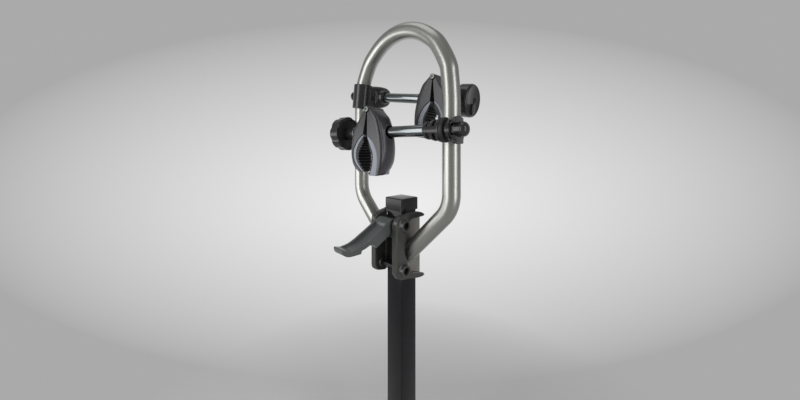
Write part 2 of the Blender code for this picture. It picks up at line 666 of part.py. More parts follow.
def build_collar_a():
    """Smooth black collar: a sleeve on the left leg that swells backward into a bulb round the rod."""
    low, high = COLLAR_A_LOW, COLLAR_A_HIGH
    leg = leg_frame(ARM_A)
    sleeve = [(low, 0), (low, 20.2 * MM), (low + 1.2 * MM, 21.2 * MM), (high - 1.2 * MM, 21.2 * MM),
              (high, 20.2 * MM), (high, 0)]
    collar = place(add_object("collar_a", lathe(sleeve, 22), "clamp_black"), leg)
    frame = rod_frame(ARM_A)
    middle = (low + high) / 2
    bulb = [(-35, -20, 20, 27.0), (-20, -22, 22.5, 27.2), (-8, -25, 29, 26.6), (4, -26, 34, 24.6),
            (14, -24, 34, 21.4), (22, -18, 28, 17.0), (27, -10, 18, 11.0), (29, -4, 8, 5.0)]
    sections = []
    for y, x0, x1, height in bulb:
        share = min(1.0, max(0.0, (y + 20) / 30))
        ring = superellipse((x1 - x0) / 2 * MM, height * MM, 18)
        sections.append([(x + (x0 + x1) / 2 * MM, y * MM, z + middle * (1 - share)) for x, z in ring])
    join(collar, tool(loft(sections), frame))
    neck = [(0, 16.6), (34, 16.6), (38, 15.4), (39, 14.0)]
    join(collar, tool(lathe([(x * MM, r * MM) for x, r in neck], 18), frame))
    bore = HOOP_TUBE / 2 + REST_GAP
    mouth = bore + 2.6 * MM
    throat = [(-60 * MM, mouth), (low, mouth), (-16 * MM, bore), (16 * MM, bore), (high, mouth),
              (60 * MM, mouth)]
    rod_bore = ROD_RADIUS + PIN_CLEARANCE
    cut(collar, tool(lathe(throat, 22), leg),
        tool(lathe([(-40 * MM, rod_bore), (60 * MM, rod_bore)], 18), frame))
    return collar


def ribbed_cone(start, end, start_radius, end_radius, groove, ribs):
    """Stepped outline of a ribbed cone between two places on the rod."""
    pitch = (end - start) / (2 * ribs - 1)
    profile = [(start, 0)]
    for i in range(ribs):
        low = start + 2 * i * pitch
        radius = start_radius + (end_radius - start_radius) * i / (ribs - 1)
        profile += [(low, radius), (low + pitch, radius + (end_radius - start_radius) * 0.25)]
        if i < ribs - 1:
            profile += [(low + pitch, radius - groove), (low + 2 * pitch, radius - groove)]
    profile += [(end, 0)]
    return profile


def band(start, end, radius, low_radius):
    """Smooth band along the front of a ribbed cone, following its taper."""
    rings = []
    for x, outer in ((start, radius), (end, low_radius)):
        outline = arc((0, 0), outer - 0.3 * MM, 68, 112, 4) + [(-5 * MM, 6 * MM), (5 * MM, 6 * MM)]
        rings.append([(x, across, out) for out, across in outline])
    return loft(rings)


def build_collar_b():
    """Ribbed collar on the right leg: inner cone, rubber ring and end cone, all round the rod."""
    frame = rod_frame(ARM_B)
    leg = leg_frame(ARM_B)
    rod_bore = [(-60 * MM, ROD_RADIUS + PIN_CLEARANCE), (60 * MM, ROD_RADIUS + PIN_CLEARANCE)]
    cap_bore = [(-60 * MM, ROD_CAP_RADIUS + 0.4 * MM), (0, ROD_CAP_RADIUS + 0.4 * MM)]
    room = [(-0.1, HOOP_TUBE / 2 + REST_GAP), (0.1, HOOP_TUBE / 2 + REST_GAP)]

    cone = ribbed_cone(CONE_INNER_END, 24 * MM, 20.6 * MM, 15.6 * MM, 3.6 * MM, 3)
    collar = place(add_object("collar_b", lathe(cone, 22), "clamp_black"), frame)
    join(collar, tool(band(-7 * MM, 23.6 * MM, 20.4 * MM, 16.0 * MM), frame))
    sleeve = [(-COLLAR_B_HALF, 0), (-COLLAR_B_HALF, COLLAR_B_RADIUS - 0.8 * MM),
              (-COLLAR_B_HALF + MM, COLLAR_B_RADIUS), (COLLAR_B_HALF - MM, COLLAR_B_RADIUS),
              (COLLAR_B_HALF, COLLAR_B_RADIUS - 0.8 * MM), (COLLAR_B_HALF, 0)]
    join(collar, tool(lathe(sleeve, 22), leg))
    web = box((-6.5 * MM, -28 * MM, -15 * MM), (22 * MM, -4 * MM, 15 * MM))
    join(collar, tool(web, frame))
    beyond = CONE_RADIUS + 0.8 * MM
    cut(collar, tool(lathe([(-60 * MM, beyond), (CONE_INNER_END, beyond)], 22), frame))
    tall = tool(lathe([(-COLLAR_B_TALL, 0), (-COLLAR_B_TALL, COLLAR_B_RADIUS - 1.4 * MM),
                       (-COLLAR_B_TALL + 2 * MM, COLLAR_B_RADIUS), (COLLAR_B_TALL - 2 * MM, COLLAR_B_RADIUS),
                       (COLLAR_B_TALL, COLLAR_B_RADIUS - 1.4 * MM), (COLLAR_B_TALL, 0)], 22), leg)
    cut(tall, tool(box((CONE_OUTER_END, -60 * MM, -60 * MM), (60 * MM, 80 * MM, 60 * MM)), frame))
    join(collar, tall)
    cut(collar, tool(lathe(room, 22), leg), tool(lathe(rod_bore, 18), frame))

    ring = [(-8.0, 10.6), (-8.0, 19.6), (-9.2, 20.8), (-13.4, 20.8), (-14.6, 19.6), (-14.6, 10.6)]
    ring = place(add_object("collar_b_ring", lathe([(x * MM, r * MM) for x, r in ring], 22, closed=True),
                            "pad_rubber"), frame)
    end = lathe(ribbed_cone(-36 * MM, CONE_OUTER_END, CONE_RADIUS, 17.6 * MM, 3.6 * MM, 2), 22)
    end = place(add_object("collar_b_end", end, "clamp_black"), frame)
    join(end, tool(lathe([(-19 * MM, 15.6 * MM), (-15 * MM, 15.6 * MM)], 22), frame))
    join(end, tool(band(-35.5 * MM, -18.4 * MM, 22.0 * MM, 17.8 * MM), frame))
    slot = box((-40 * MM, 4 * MM, -COLLAR_SLOT), (-26 * MM, 30 * MM, COLLAR_SLOT))
    cut(end, tool(slot, frame), tool(lathe(cap_bore, 18), frame))
    for piece in (end, ring):
        around = [(-0.1, COLLAR_B_RADIUS + 0.4 * MM), (0.1, COLLAR_B_RADIUS + 0.4 * MM)]
        cut(piece, tool(lathe(around, 22), leg))


def build_rod(name, arm, neck=0.0):
    """Round rod from its domed end cap to the inner jaw's socket; the cap may have a long neck."""
    end = arm["reach"] - 20 * MM
    tail = arm["tail"]
    profile = [(tail, 0), (tail, ROD_RADIUS), (end - MM, ROD_RADIUS), (end, ROD_RADIUS - MM), (end, 0)]
    frame = rod_frame(arm)
    place(add_object(name, lathe(profile, 20), "rod_steel"), frame)
    base = tail - REST_GAP
    dome = [(base, 0), (base, ROD_CAP_RADIUS)]
    if neck:
        dome += [(base - neck, ROD_CAP_RADIUS), (base - neck - 0.6 * MM, ROD_CAP_RADIUS - 0.8 * MM),
                 (base - neck - 1.2 * MM, ROD_CAP_RADIUS)]
    for t in np.linspace(0, 90, 5):
        turn = math.radians(t)
        dome.append((base - neck - 3 * MM - 9 * MM * math.sin(turn), ROD_CAP_RADIUS * math.cos(turn)))
    place(add_object(name + "_cap", lathe(dome, 18), "clamp_black"), frame)


def below_pin(points, steps):
    """Smooth curve through (a, distance below the pin) points given in millimetres."""
    return spline([(a * MM, PIN_HEIGHT - z * MM) for a, z in points], steps)


# Front outlines of the two jaws as (a, distance below the pin): the inner jaw is on the rod's
# side, the outer jaw hangs open on the knob's side. Each goes from the top to the bottom.
INNER = {
    "side": -1,
    "edge": [(5.4, -1), (12, 7.5), (18.7, 17), (24, 35), (27.6, 53), (30, 70), (30.8, 86), (29.6, 104),
             (24.5, 122.5)],
    "seam": [(0.8, 47.6), (14, 59.7), (21.7, 73.8), (25.4, 88), (25.2, 105), (21.6, 123.4)],
    "seat": [(0.8, 54.5), (7.2, 68), (13.0, 82), (13.4, 95), (10.6, 109), (5.2, 123.4)],
    "crest": [(0.9, 61), (3.2, 70), (7.6, 83), (8.0, 95), (5.6, 109), (1.6, 121)],
    "slit": [(0.8, 7.2), (5.2, 4.2)],
    "bulge": 12.5,
    "corner": 6.0,
}
OUTER = {
    "side": 1,
    "edge": [(5.4, 0), (15.2, 14.5), (24.8, 26.6), (32.6, 41), (35.8, 57), (38.2, 74), (37.4, 91),
             (32.0, 106), (19.0, 118)],
    "seam": [(9.6, 46), (15.5, 50), (23.1, 56.8), (29.1, 64.8), (34.0, 74), (35.6, 83), (34.6, 91),
             (31.0, 99.5), (24.5, 107.5), (14.5, 116.5)],
    "seat": [(10.0, 51), (15.8, 56.8), (22.0, 64.8), (26.4, 73.5), (28.3, 83), (27.6, 92), (24.0, 100),
             (18.0, 108), (9.5, 117)],
    "crest": [(8.0, 60), (12.6, 67), (18.6, 76), (21.4, 85), (20.6, 95), (15.4, 105), (6.8, 115)],
    "slit": [(1.6, 7.2), (5.2, 4.4)],
    "bulge": 4.6,
    "corner": 0.0,
}


def jaw_solid(name, jaw):
    """Jaw shell: flat slit face and seam inside, rounded outside between its two end faces."""
    outer = below_pin(jaw["edge"], 1)
    inside = below_pin(jaw["seam"], 2)[::-1] + [(a * MM, PIN_HEIGHT - z * MM) for a, z in jaw["slit"]]
    sections = []
    steps = 6
    for k in range(steps + 1):
        n = -CLAMP_HALF_DEPTH * math.cos(math.pi * k / steps)
        level = math.sqrt(max(0.0, 1 - (n / CLAMP_HALF_DEPTH) ** 2))
        ring = []
        for i, (a, z) in enumerate(outer):
            share = math.sin(math.pi * min(1.0, (i + 0.35) / (len(outer) - 0.65))) ** 0.7
            low = max(0.0, i - len(outer) + 4) / 3
            lift = jaw["corner"] * MM * low * max(0.0, n / CLAMP_HALF_DEPTH) ** 2
            ring.append((jaw["side"] * (a + jaw["bulge"] * MM * level * share), n, z + lift))
        ring += [(jaw["side"] * a, n, z) for a, z in inside]
        sections.append(ring)
    return add_object(name, loft(sections), "clamp_black")


def knuckle(low, high, side):
    """Hinge knuckle with the web that joins it to its jaw."""
    frame = axes((0, low, PIN_HEIGHT), (0, 1, 0), (0, 0, 1))
    barrel = tool(lathe([(0, KNUCKLE_RADIUS), (high - low, KNUCKLE_RADIUS)], 14), frame)
    web = box((min(side * 1.8 * MM, side * 9 * MM), low, PIN_HEIGHT - 9 * MM),
              (max(side * 1.8 * MM, side * 9 * MM), high, PIN_HEIGHT - 1 * MM))
    return barrel, tool(web)


def pin_bore(radius):
    return rod_along((0, -0.05, PIN_HEIGHT), (0, 0.05, PIN_HEIGHT), radius, 14)


def inward(points, distance):
    """Moves an open curve sideways, toward the middle of the clamp."""
    moved = []
    for i, (a, z) in enumerate(points):
        before, after = points[max(i - 1, 0)], points[min(i + 1, len(points) - 1)]
        along = Vector((after[0] - before[0], after[1] - before[1])).normalized()
        moved.append((a + along.y * distance, z - along.x * distance))
    return moved


def liner_solid(name, jaw):
    """Pale lining between the jaw shell and the pad, both seams kept a hair apart."""
    seam = inward(below_pin(jaw["seam"], 2), 0.3 * MM)
    seat = below_pin(jaw["seat"], 2)
    bm = prism([(jaw["side"] * a, z) for a, z in seam + seat[::-1]], -LINER_DEPTH, LINER_DEPTH, "y")
    return add_object(name, bm, "liner_bluegrey")


def pad_solid(name, jaw):
    """Rubber pad whose face has PAD_RIBS rounded ribs across the clamp."""
    seat = inward(below_pin(jaw["seat"], 2), 0.3 * MM)
    crest = below_pin(jaw["crest"], 9)
    face = []
    for i, (root, top) in enumerate(zip(inward(crest, -RIB_HEIGHT), crest)):
        share = math.sin(math.pi * PAD_RIBS * i / (len(crest) - 1)) ** 2
        face.append((root[0] + (top[0] - root[0]) * share, root[1] + (top[1] - root[1]) * share))
    outline = seat + face[::-1]
    bm = prism([(jaw["side"] * a, z) for a, z in outline], -PAD_DEPTH, PAD_DEPTH, "y")
    return add_object(name, bm, "pad_rubber", smooth=50)


def stud_slot():
    """Slot that lets the outer jaw and its liner swing over the stud."""
    radius = STUD_RADIUS + MM
    outline = arc((0, STUD_SWING), radius, 0, 180, 5) + arc((0, -STUD_SWING), radius, 180, 360, 5)
    return tool(prism(outline, -5 * MM, 60 * MM, "x"))


def build_clamp(tag, arm):
    """One frame clamp: two hinged jaws with liners and pads, stud, rocking washer and knob."""
    pin = (0, 0, PIN_HEIGHT)
    inner = jaw_solid("inner_jaw_" + tag, INNER)
    boss = [(14 * MM, 15.4 * MM), (BOSS_END - MM, 14.6 * MM), (BOSS_END, 13.8 * MM)]
    join(inner, tool(lathe(boss, 20), axes((0, 0, 0), (-1, 0, 0), (0, 0, 1))))
    for low, high in ((-CLAMP_HALF_DEPTH, -8 * MM), (8 * MM, CLAMP_HALF_DEPTH)):
        join(inner, *knuckle(low, high, -1))
    socket = [(19 * MM, ROD_RADIUS + PIN_CLEARANCE), (BOSS_END - BOSS_RECESS, ROD_RADIUS + PIN_CLEARANCE),
              (BOSS_END - BOSS_RECESS, ROD_RADIUS + 2 * MM), (60 * MM, ROD_RADIUS + 2 * MM)]
    hole = [(-5 * MM, STUD_RADIUS + PIN_CLEARANCE), (30 * MM, STUD_RADIUS + PIN_CLEARANCE)]
    cut(inner, tool(lathe(socket, 18), axes((0, 0, 0), (-1, 0, 0), (0, 0, 1))),
        tool(lathe(hole, 12), axes((0, 0, 0), (-1, 0, 0), (0, 0, 1))), pin_bore(PIN_RADIUS + PIN_CLEARANCE))

    outer = jaw_solid("outer_jaw_" + tag, OUTER)
    join(outer, *knuckle(-7.6 * MM, 7.6 * MM, 1))
    rocker = add_object("tool", lathe([(-13 * MM, ROCKER_RADIUS), (13 * MM, ROCKER_RADIUS)], 20))
    place(rocker, axes((ROCKER_CENTRE, 0, 0), (0, 1, 0), (0, 0, 1)))
    join(outer, rocker)
    cut(outer, stud_slot(), pin_bore(PIN_RADIUS + PIN_CLEARANCE))

    liners = (liner_solid("inner_liner_" + tag, INNER), liner_solid("outer_liner_" + tag, OUTER))
    cut(liners[1], stud_slot())
    pads = (pad_solid("inner_pad_" + tag, INNER), pad_solid("outer_pad_" + tag, OUTER))

    reach = CLAMP_HALF_DEPTH + REST_GAP
    rivet = [(-reach - 1.8 * MM, 1.6 * MM), (-reach - 1.8 * MM, KNUCKLE_RADIUS - 0.8 * MM),
             (-reach - 1.0 * MM, KNUCKLE_RADIUS), (-reach, KNUCKLE_RADIUS), (-reach, PIN_RADIUS)]
    profile = rivet + [(-x, r) for x, r in reversed(rivet)]
    hinge = add_object("hinge_pin_" + tag, lathe(profile, 14, closed=True), "pin_zinc")
    bm = bmesh.new()
    bm.from_mesh(hinge.data)
    bmesh.ops.transform(bm, matrix=axes(pin, (0, 1, 0), (0, 0, 1)), verts=bm.verts)
    bm.to_mesh(hinge.data)
    bm.free()

    knob_start, knob_end = arm["knob"]
    washer_face = ROCKER_CENTRE + ROCKER_RADIUS + REST_GAP
    washer_end = washer_face + WASHER_THICKNESS
    stud_end = knob_end - 8 * MM
    stud = lathe([(-18 * MM, 0), (-18 * MM, STUD_RADIUS), (stud_end - MM, STUD_RADIUS),
                  (stud_end, STUD_RADIUS - MM), (stud_end, 0)], 14)
    stud = add_object("stud_" + tag, stud, "rod_steel")
    washer = lathe([(washer_face, STUD_RADIUS + 0.4 * MM), (washer_face, WASHER_RADIUS - MM),
                    (washer_face + MM, WASHER_RADIUS), (washer_end - MM, WASHER_RADIUS),
                    (washer_end, WASHER_RADIUS - MM), (washer_end, STUD_RADIUS + 0.4 * MM)], 20, closed=True)
    washer = add_object("washer_" + tag, washer, "pin_zinc")
    knob = build_knob(tag, arm, washer_end + REST_GAP, knob_start, knob_end)

    for piece in (inner, liners[0], pads[0], hinge, stud, washer, knob):
        put_clamp_piece(piece, arm)
    for piece in (outer, liners[1], pads[1]):
        put_clamp_piece(piece, arm, pin)
    if tag == "a":
        build_lock(arm, knob_end)


def build_knob(tag, arm, hub_start, start, end):
    """Drum knob with a recess round its hub. Knob A is smooth, knob B has shallow flutes."""
    radius, edge = arm["knob_radius"], arm["knob_edge"]
    bore = STUD_RADIUS + 0.3 * MM
    profile = [(hub_start, bore), (hub_start, 12 * MM), (start + KNOB_RECESS, 13 * MM),
               (start + KNOB_RECESS, radius - 5.2 * MM), (start, radius - 4 * MM),
               (start + MM, radius - 1.2 * MM), (start + 3 * MM, radius), (end - edge, radius),
               (end - 0.35 * edge, radius - 0.25 * edge), (end, radius - 0.8 * edge),
               (end - KNOB_DISH, radius - 1.2 * edge), (end - KNOB_DISH, 0),
               (end - 4.5 * MM, 0), (end - 4.5 * MM, bore)]
    segments = 40 if tag == "b" else 28
    bm = lathe_hollow(profile, segments)
    if tag == "b":
        for vert in bm.verts:
            out = math.hypot(vert.co.y, vert.co.z)
            if out < radius * 0.6:
                continue
            angle = math.atan2(vert.co.z, vert.co.y)
            flute = 1.0 - 0.035 * (0.5 - 0.5 * math.cos(KNOB_FLUTES * angle)) ** 3
            vert.co.y *= flute
            vert.co.z *= flute
    return add_object("knob_" + tag, bm, "knob_black")


def lathe_hollow(profile, segments):
    """Turned solid with a blind bore: the profile runs over the outside, then back down the bore."""
    outside = profile[:-2]
    bm = lathe(outside[1:], segments)
    bottom, bore = profile[-1][0], profile[-1][1]
    tool_bm = lathe([(profile[0][0] - MM, bore), (bottom, bore)], segments // 2)
    body = add_object("tool", bm)
    cut(body, tool(tool_bm))
    result = bmesh.new()
    result.from_mesh(body.data)
    bpy.data.objects.remove(body, do_unlink=True)
    return result


def build_lock(arm, knob_end):
    """Key cylinder near the middle of knob A's face, and its half-open dust cover below it."""
    frame = clamp_frame(arm)
    knob = bpy.data.objects["knob_a"]
    seat = knob_end - KNOB_DISH
    spot = frame @ axes(Vector((0, 5.0 * MM, 1.0 * MM)), (1, 0, 0), (0, 0, 1))
    cut(knob, tool(lathe([(seat - 2.6 * MM, 6.4 * MM), (seat + 3 * MM, 6.4 * MM)], 20), spot))
    cylinder = lathe([(seat - 2.3 * MM, 0), (seat - 2.3 * MM, 6.1 * MM), (seat + 0.2 * MM, 6.1 * MM),
                      (seat + 0.6 * MM, 5.6 * MM), (seat + 0.6 * MM, 0)], 20)
    cylinder = place(add_object("lock_cylinder_a", cylinder, "lock_metal"), spot)
    keyway = box((seat - 1.6 * MM, -1.0 * MM, -4.2 * MM), (seat + MM, 1.0 * MM, 4.2 * MM))
    cut(cylinder, tool(keyway, spot))
    cover = arc((0, 4 * MM), 6.0 * MM, 0, 180, 8) + arc((0, -5.4 * MM), 5.6 * MM, 180, 360, 8)
    cover = add_object("lock_cover_a", prism(cover, seat + REST_GAP, seat + 2.6 * MM, "x"), "knob_black")
    place(cover, frame @ axes(Vector((0, 0.5 * MM, -15.0 * MM)), (1, 0, 0), (0, 0, 1)))


def main():
    clear_scene()
    build_mast()
    build_channel()
    build_bracket("bracket_right", 1)
    build_bracket("bracket_left", -1)
    build_cross_bolt("pivot_bolt", "pivot_nut", bolt_height(1))
    build_cross_bolt("lower_bolt", "lower_nut", bolt_height(-1))
    build_spacers()
    build_shoe()
    build_hoop()
    build_lever()
    build_collar_a()
    build_rod("rod_a", ARM_A)
    build_clamp("a", ARM_A)
    build_collar_b()
    build_rod("rod_b", ARM_B, neck=11 * MM)
    build_clamp("b", ARM_B)


main()
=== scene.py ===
"""Looks of the rack's upper mast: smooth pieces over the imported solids, finishes, studio and camera.

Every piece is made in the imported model's own frame: metres, +Z up the mast, -Y to the front.
"""
import json
import math

import bmesh
import bpy
from mathutils import Matrix, Vector


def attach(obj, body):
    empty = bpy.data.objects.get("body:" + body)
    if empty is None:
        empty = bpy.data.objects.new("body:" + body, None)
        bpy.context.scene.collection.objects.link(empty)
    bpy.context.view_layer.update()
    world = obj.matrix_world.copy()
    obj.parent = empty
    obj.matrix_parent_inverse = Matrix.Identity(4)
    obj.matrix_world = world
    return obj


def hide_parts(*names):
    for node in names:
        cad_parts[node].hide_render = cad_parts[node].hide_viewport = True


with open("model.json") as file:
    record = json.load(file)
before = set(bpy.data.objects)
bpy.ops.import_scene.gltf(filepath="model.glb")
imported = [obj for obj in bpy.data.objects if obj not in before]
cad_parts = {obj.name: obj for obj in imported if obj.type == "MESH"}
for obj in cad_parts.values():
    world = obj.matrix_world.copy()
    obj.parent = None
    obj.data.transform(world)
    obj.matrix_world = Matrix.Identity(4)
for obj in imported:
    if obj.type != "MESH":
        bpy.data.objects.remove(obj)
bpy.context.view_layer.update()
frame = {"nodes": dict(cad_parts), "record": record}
MM = 0.001

# Camera and render look

LOOK = Vector((-1, 1, 0)).normalized()
RIGHT = Vector((1, 1, 0)).normalized()
CAMERA_SPOT = (0.4156, -0.4201, 0.7015)
FOCAL_LENGTH = 12.99
LENS_SHIFT = -0.065

scene = bpy.context.scene
scene.view_settings.view_transform = "Standard"
lens = bpy.data.cameras.new("camera")
lens.sensor_width = 36.0
lens.lens = FOCAL_LENGTH
lens.shift_y = LENS_SHIFT
lens.clip_start = 0.01
camera = bpy.data.objects.new("camera", lens)
scene.collection.objects.link(camera)
camera.matrix_world = Matrix.Translation(CAMERA_SPOT) @ LOOK.to_track_quat("-Z", "Y").to_matrix().to_4x4()
scene.camera = camera


# Finishes

# Share of its colour that a finish keeps at the top of its painted shade
SHADE = 0.42


class Sum:
    """Wraps a socket, so that shader maths is written as plain sums."""

    def __init__(self, tree, socket):
        self.tree = tree
        self.socket = socket

    def maths(self, operation, *values):
        node = self.tree.nodes.new("ShaderNodeMath")
        node.operation = operation
        for entry, value in zip(node.inputs, values):
            if isinstance(value, Sum):
                self.tree.links.new(value.socket, entry)
            else:
                entry.default_value = value
        return Sum(self.tree, node.outputs[0])

    def __add__(self, other):
        return self.maths("ADD", self, other)

    def __radd__(self, other):
        return self.maths("ADD", other, self)

    def __sub__(self, other):
        return self.maths("SUBTRACT", self, other)

    def __rsub__(self, other):
        return self.maths("SUBTRACT", other, self)

    def __mul__(self, other):
        return self.maths("MULTIPLY", self, other)

    def __truediv__(self, other):
        return self.maths("DIVIDE", self, other)

    def __pow__(self, other):
        return self.maths("POWER", self, other)

    def at_least(self, low):
        return self.maths("MAXIMUM", self, low)

    def above(self, low, high):
        """0 below low, 1 above high and even between them."""
        return self.maths("MULTIPLY_ADD", self, 1.0 / (high - low), -low / (high - low)).clipped()

    def clipped(self):
        return self.maths("MINIMUM", self.at_least(0.0), 1.0)


class Finish:
    """One material. Its node method adds any node: type, settings first, then socket values or links."""

    def __init__(self, name, **plain):
        self.material = bpy.data.materials.new(name)
        self.material.use_nodes = True
        self.tree = self.material.node_tree
        self.shader = self.tree.nodes["Principled BSDF"]
        for key, value in plain.items():
            self.shader.inputs[key.replace("_", " ").title()].default_value = value

    def fill(self, node, inputs):
        for key, value in inputs.items():
            if isinstance(value, Sum):
                self.tree.links.new(value.socket, node.inputs[key])
            else:
                node.inputs[key].default_value = value

    def node(self, kind, settings, inputs, output=0):
        made = self.tree.nodes.new("ShaderNode" + kind)
        for key, value in settings.items():
            setattr(made, key, value)
        self.fill(made, inputs)
        return Sum(self.tree, made.outputs[output])

    def mix(self, share, low, high):
        """Colour that goes from low to high with the share."""
        return self.node("Mix", {"data_type": "RGBA"}, {0: share, 6: (*low, 1.0), 7: (*high, 1.0)}, 2)

    def noise(self, where, scale, detail=3.0, rough=0.55):
        values = {"Vector": where, "Scale": scale, "Detail": detail, "Roughness": rough}
        return self.node("TexNoise", {}, values)

    def place(self, stretch=(1.0, 1.0, 1.0), turn=(0.0, 0.0, 0.0)):
        spot = self.node("TexCoord", {}, {}, "Object")
        return self.node("Mapping", {}, {"Vector": spot, "Scale": stretch, "Rotation": turn})

    def relief(self, height, depth):
        normal = self.node("Bump", {}, {"Height": height, "Distance": depth})
        self.fill(self.shader, {"Normal": normal})


def toned(colour, share):
    return tuple(min(1.0, c * share) for c in colour)


def skin(name, colour, roughness, metallic=0.0, cloud=0.12, grain=1100.0, depth=0.00002, rubbed=0.08,
         stretch=(1.0, 1.0, 1.0), patch=28.0, painted_shade_span=None):
    """Finish with a slightly clouded colour, unevenly rubbed gloss and a fine grain in its skin.

    With two heights given for the painted shade, the colour darkens from the lower height to the upper as
    painted shade, down to SHADE of its value.
    """
    made = Finish(name, metallic=metallic)
    spot = made.place(stretch)
    clouds = made.noise(spot, patch, 4.0)
    fine = made.noise(spot, grain, 2.0)
    wear = made.noise(spot, patch * 5.0, 5.0, 0.65)
    share = (clouds * 0.7 + wear * 0.3).above(0.3, 0.7)
    mottled = made.mix(share, toned(colour, 1 - cloud), toned(colour, 1 + cloud))
    # Painted shade: the colour is multiplied down toward SHADE with height, from the lower height to the
    # upper.
    if painted_shade_span:
        height = made.node("SeparateXYZ", {}, {"Vector": made.node("TexCoord", {}, {}, "Object")}, 2)
        mottled = made.node("Mix", {"data_type": "RGBA", "blend_type": "MULTIPLY"},
                            {0: height.above(*painted_shade_span), 6: mottled, 7: (SHADE, SHADE, SHADE, 1.0)}, 2)
    gloss = roughness + (wear - 0.5) * (2 * rubbed) + (fine - 0.5) * rubbed
    made.fill(made.shader, {"Base Color": mottled, "Roughness": gloss})
    made.relief(fine, depth)
    return made


def turned_steel(name, axis, colour, roughness):
    """Bright drawn bar: long faint streaks along its axis and a soft clouding."""
    turn = Vector(axis).to_track_quat("X", "Z").inverted().to_euler()
    made = Finish(name, metallic=1.0)
    spot = made.place(turn=tuple(turn))
    spot = made.node("Mapping", {}, {"Vector": spot, "Scale": (0.04, 1.0, 1.0)})
    streak = made.noise(spot, 900.0, 3.0)
    clouds = made.noise(made.place(), 45.0, 4.0)
    share = (streak * 0.5 + clouds * 0.5).above(0.35, 0.65)
    gloss = roughness + (streak - 0.5) * 0.10 + (clouds - 0.5) * 0.08
    made.fill(made.shader, {"Base Color": made.mix(share, toned(colour, 0.88), toned(colour, 1.08)),
                            "Roughness": gloss})
    made.relief(streak, 0.000002)
    return made


# Shared shapes

def arc(centre, radius, start, end, steps):
    """Points of an arc from start to end degrees, both ends included."""
    return [(centre[0] + radius * math.cos(math.radians(start + (end - start) * i / steps)),
             centre[1] + radius * math.sin(math.radians(start + (end - start) * i / steps)))
            for i in range(steps + 1)]


def spline(points, steps):
    """Catmull-Rom curve through the points, open at both ends."""
    knots = [Vector(p) for p in points]
    knots = [knots[0] * 2 - knots[1]] + knots + [knots[-1] * 2 - knots[-2]]
    curve = []
    for p0, p1, p2, p3 in zip(knots, knots[1:], knots[2:], knots[3:]):
        for i in range(steps):
            t = i / steps
            curve.append(0.5 * (2 * p1 + (p2 - p0) * t + (2 * p0 - 5 * p1 + 4 * p2 - p3) * t ** 2
                                + (3 * p1 - p0 - 3 * p2 + p3) * t ** 3))
    return [tuple(p) for p in curve] + [tuple(knots[-2])]


def eased(points, reach, steps=5, closed=False):
    """Rounds each corner of a line of points; the curve starts reach before the corner."""
    corners = [Vector(p) for p in points]
    count = len(corners)
    made = [] if closed else [corners[0]]
    for i in range(count) if closed else range(1, count - 1):
        before, here, after = corners[i - 1], corners[i], corners[(i + 1) % count]
        back, on = before - here, after - here
        if back.length < 1e-9 or on.length < 1e-9 or abs(back.angle(on) - math.pi) < math.radians(8):
            made.append(here)
            continue
        start = here + back.normalized() * min(reach, back.length * 0.45)
        stop = here + on.normalized() * min(reach, on.length * 0.45)
        for k in range(steps + 1):
            t = k / steps
            made.append(start * (1 - t) ** 2 + here * (2 * t * (1 - t)) + stop * t ** 2)
    if not closed:
        made.append(corners[-1])
    return [tuple(p) for p in made]


def axes(origin, x_axis, z_axis):
    """A frame at origin whose local X and Z run along the two directions."""
    x = Vector(x_axis).normalized()
    z = Vector(z_axis)
    z = (z - x * z.dot(x)).normalized()
    return Matrix.Translation(Vector(origin)) @ Matrix((x, z.cross(x), z)).transposed().to_4x4()


def put(bm, place):
    bmesh.ops.transform(bm, matrix=place, verts=bm.verts)
    return bm


def merge(bm, distance=1e-6):
    bmesh.ops.remove_doubles(bm, verts=bm.verts, dist=distance)


def turned(profile, place=Matrix(), steps=96, closed=False):
    """Spins (along, radius) points about the frame's X axis."""
    bm = bmesh.new()
    verts = [bm.verts.new((x, 0.0, max(radius, 0.0))) for x, radius in profile]
    edges = [bm.edges.new(pair) for pair in zip(verts, verts[1:])]
    if closed:
        edges.append(bm.edges.new((verts[-1], verts[0])))
    bmesh.ops.spin(bm, geom=verts + edges, cent=(0, 0, 0), axis=(1, 0, 0), angle=2 * math.pi, steps=steps,
                   use_merge=True)
    merge(bm)
    return put(bm, place)


def slab(outline, low, high, place=Matrix(), edge=0.0):
    """Extrudes an outline in the frame's X-Y plane from low to high along its Z, with eased edges."""
    bm = bmesh.new()
    face = bm.faces.new([bm.verts.new((x, y, low)) for x, y in outline])
    made = bmesh.ops.extrude_face_region(bm, geom=[face])
    top = [v for v in made["geom"] if isinstance(v, bmesh.types.BMVert)]
    bmesh.ops.translate(bm, vec=(0, 0, high - low), verts=top)
    bmesh.ops.recalc_face_normals(bm, faces=bm.faces)
    if edge:
        ease_edges(bm, edge, 50.0)
    return put(bm, place)


def ease_edges(bm, width, angle, segments=3, keep=None):
    """Bevels every edge that is sharper than the angle."""
    sharp = [e for e in bm.edges if len(e.link_faces) == 2 and e.calc_face_angle(0.0) > math.radians(angle)
             and (keep is None or keep(e))]
    bmesh.ops.bevel(bm, geom=sharp, offset=width, offset_type="OFFSET", segments=segments, profile=0.5,
                    affect="EDGES", clamp_overlap=True, material=-1)


def evaluated(obj):
    """Mesh of an object with its modifiers, or of a curve."""
    return bpy.data.meshes.new_from_object(obj.evaluated_get(bpy.context.evaluated_depsgraph_get()))


def rope(points, radius, sides):
    """Round bar along a smooth line of points, made as a bevelled curve."""
    curve = bpy.data.curves.new("line", "CURVE")
    curve.dimensions = "3D"
    curve.bevel_depth = radius
    curve.bevel_resolution = sides // 4
    curve.use_fill_caps = True
    line = curve.splines.new("POLY")
    line.points.add(len(points) - 1)
    for knot, point in zip(line.points, points):
        knot.co = (*point, 1.0)
    obj = bpy.data.objects.new("line", curve)
    scene.collection.objects.link(obj)
    bm = bmesh.new()
    mesh = evaluated(obj)
    bm.from_mesh(mesh)
    bpy.data.objects.remove(obj, do_unlink=True)
    bpy.data.meshes.remove(mesh)
    bpy.data.curves.remove(curve)
    merge(bm)
    return bm


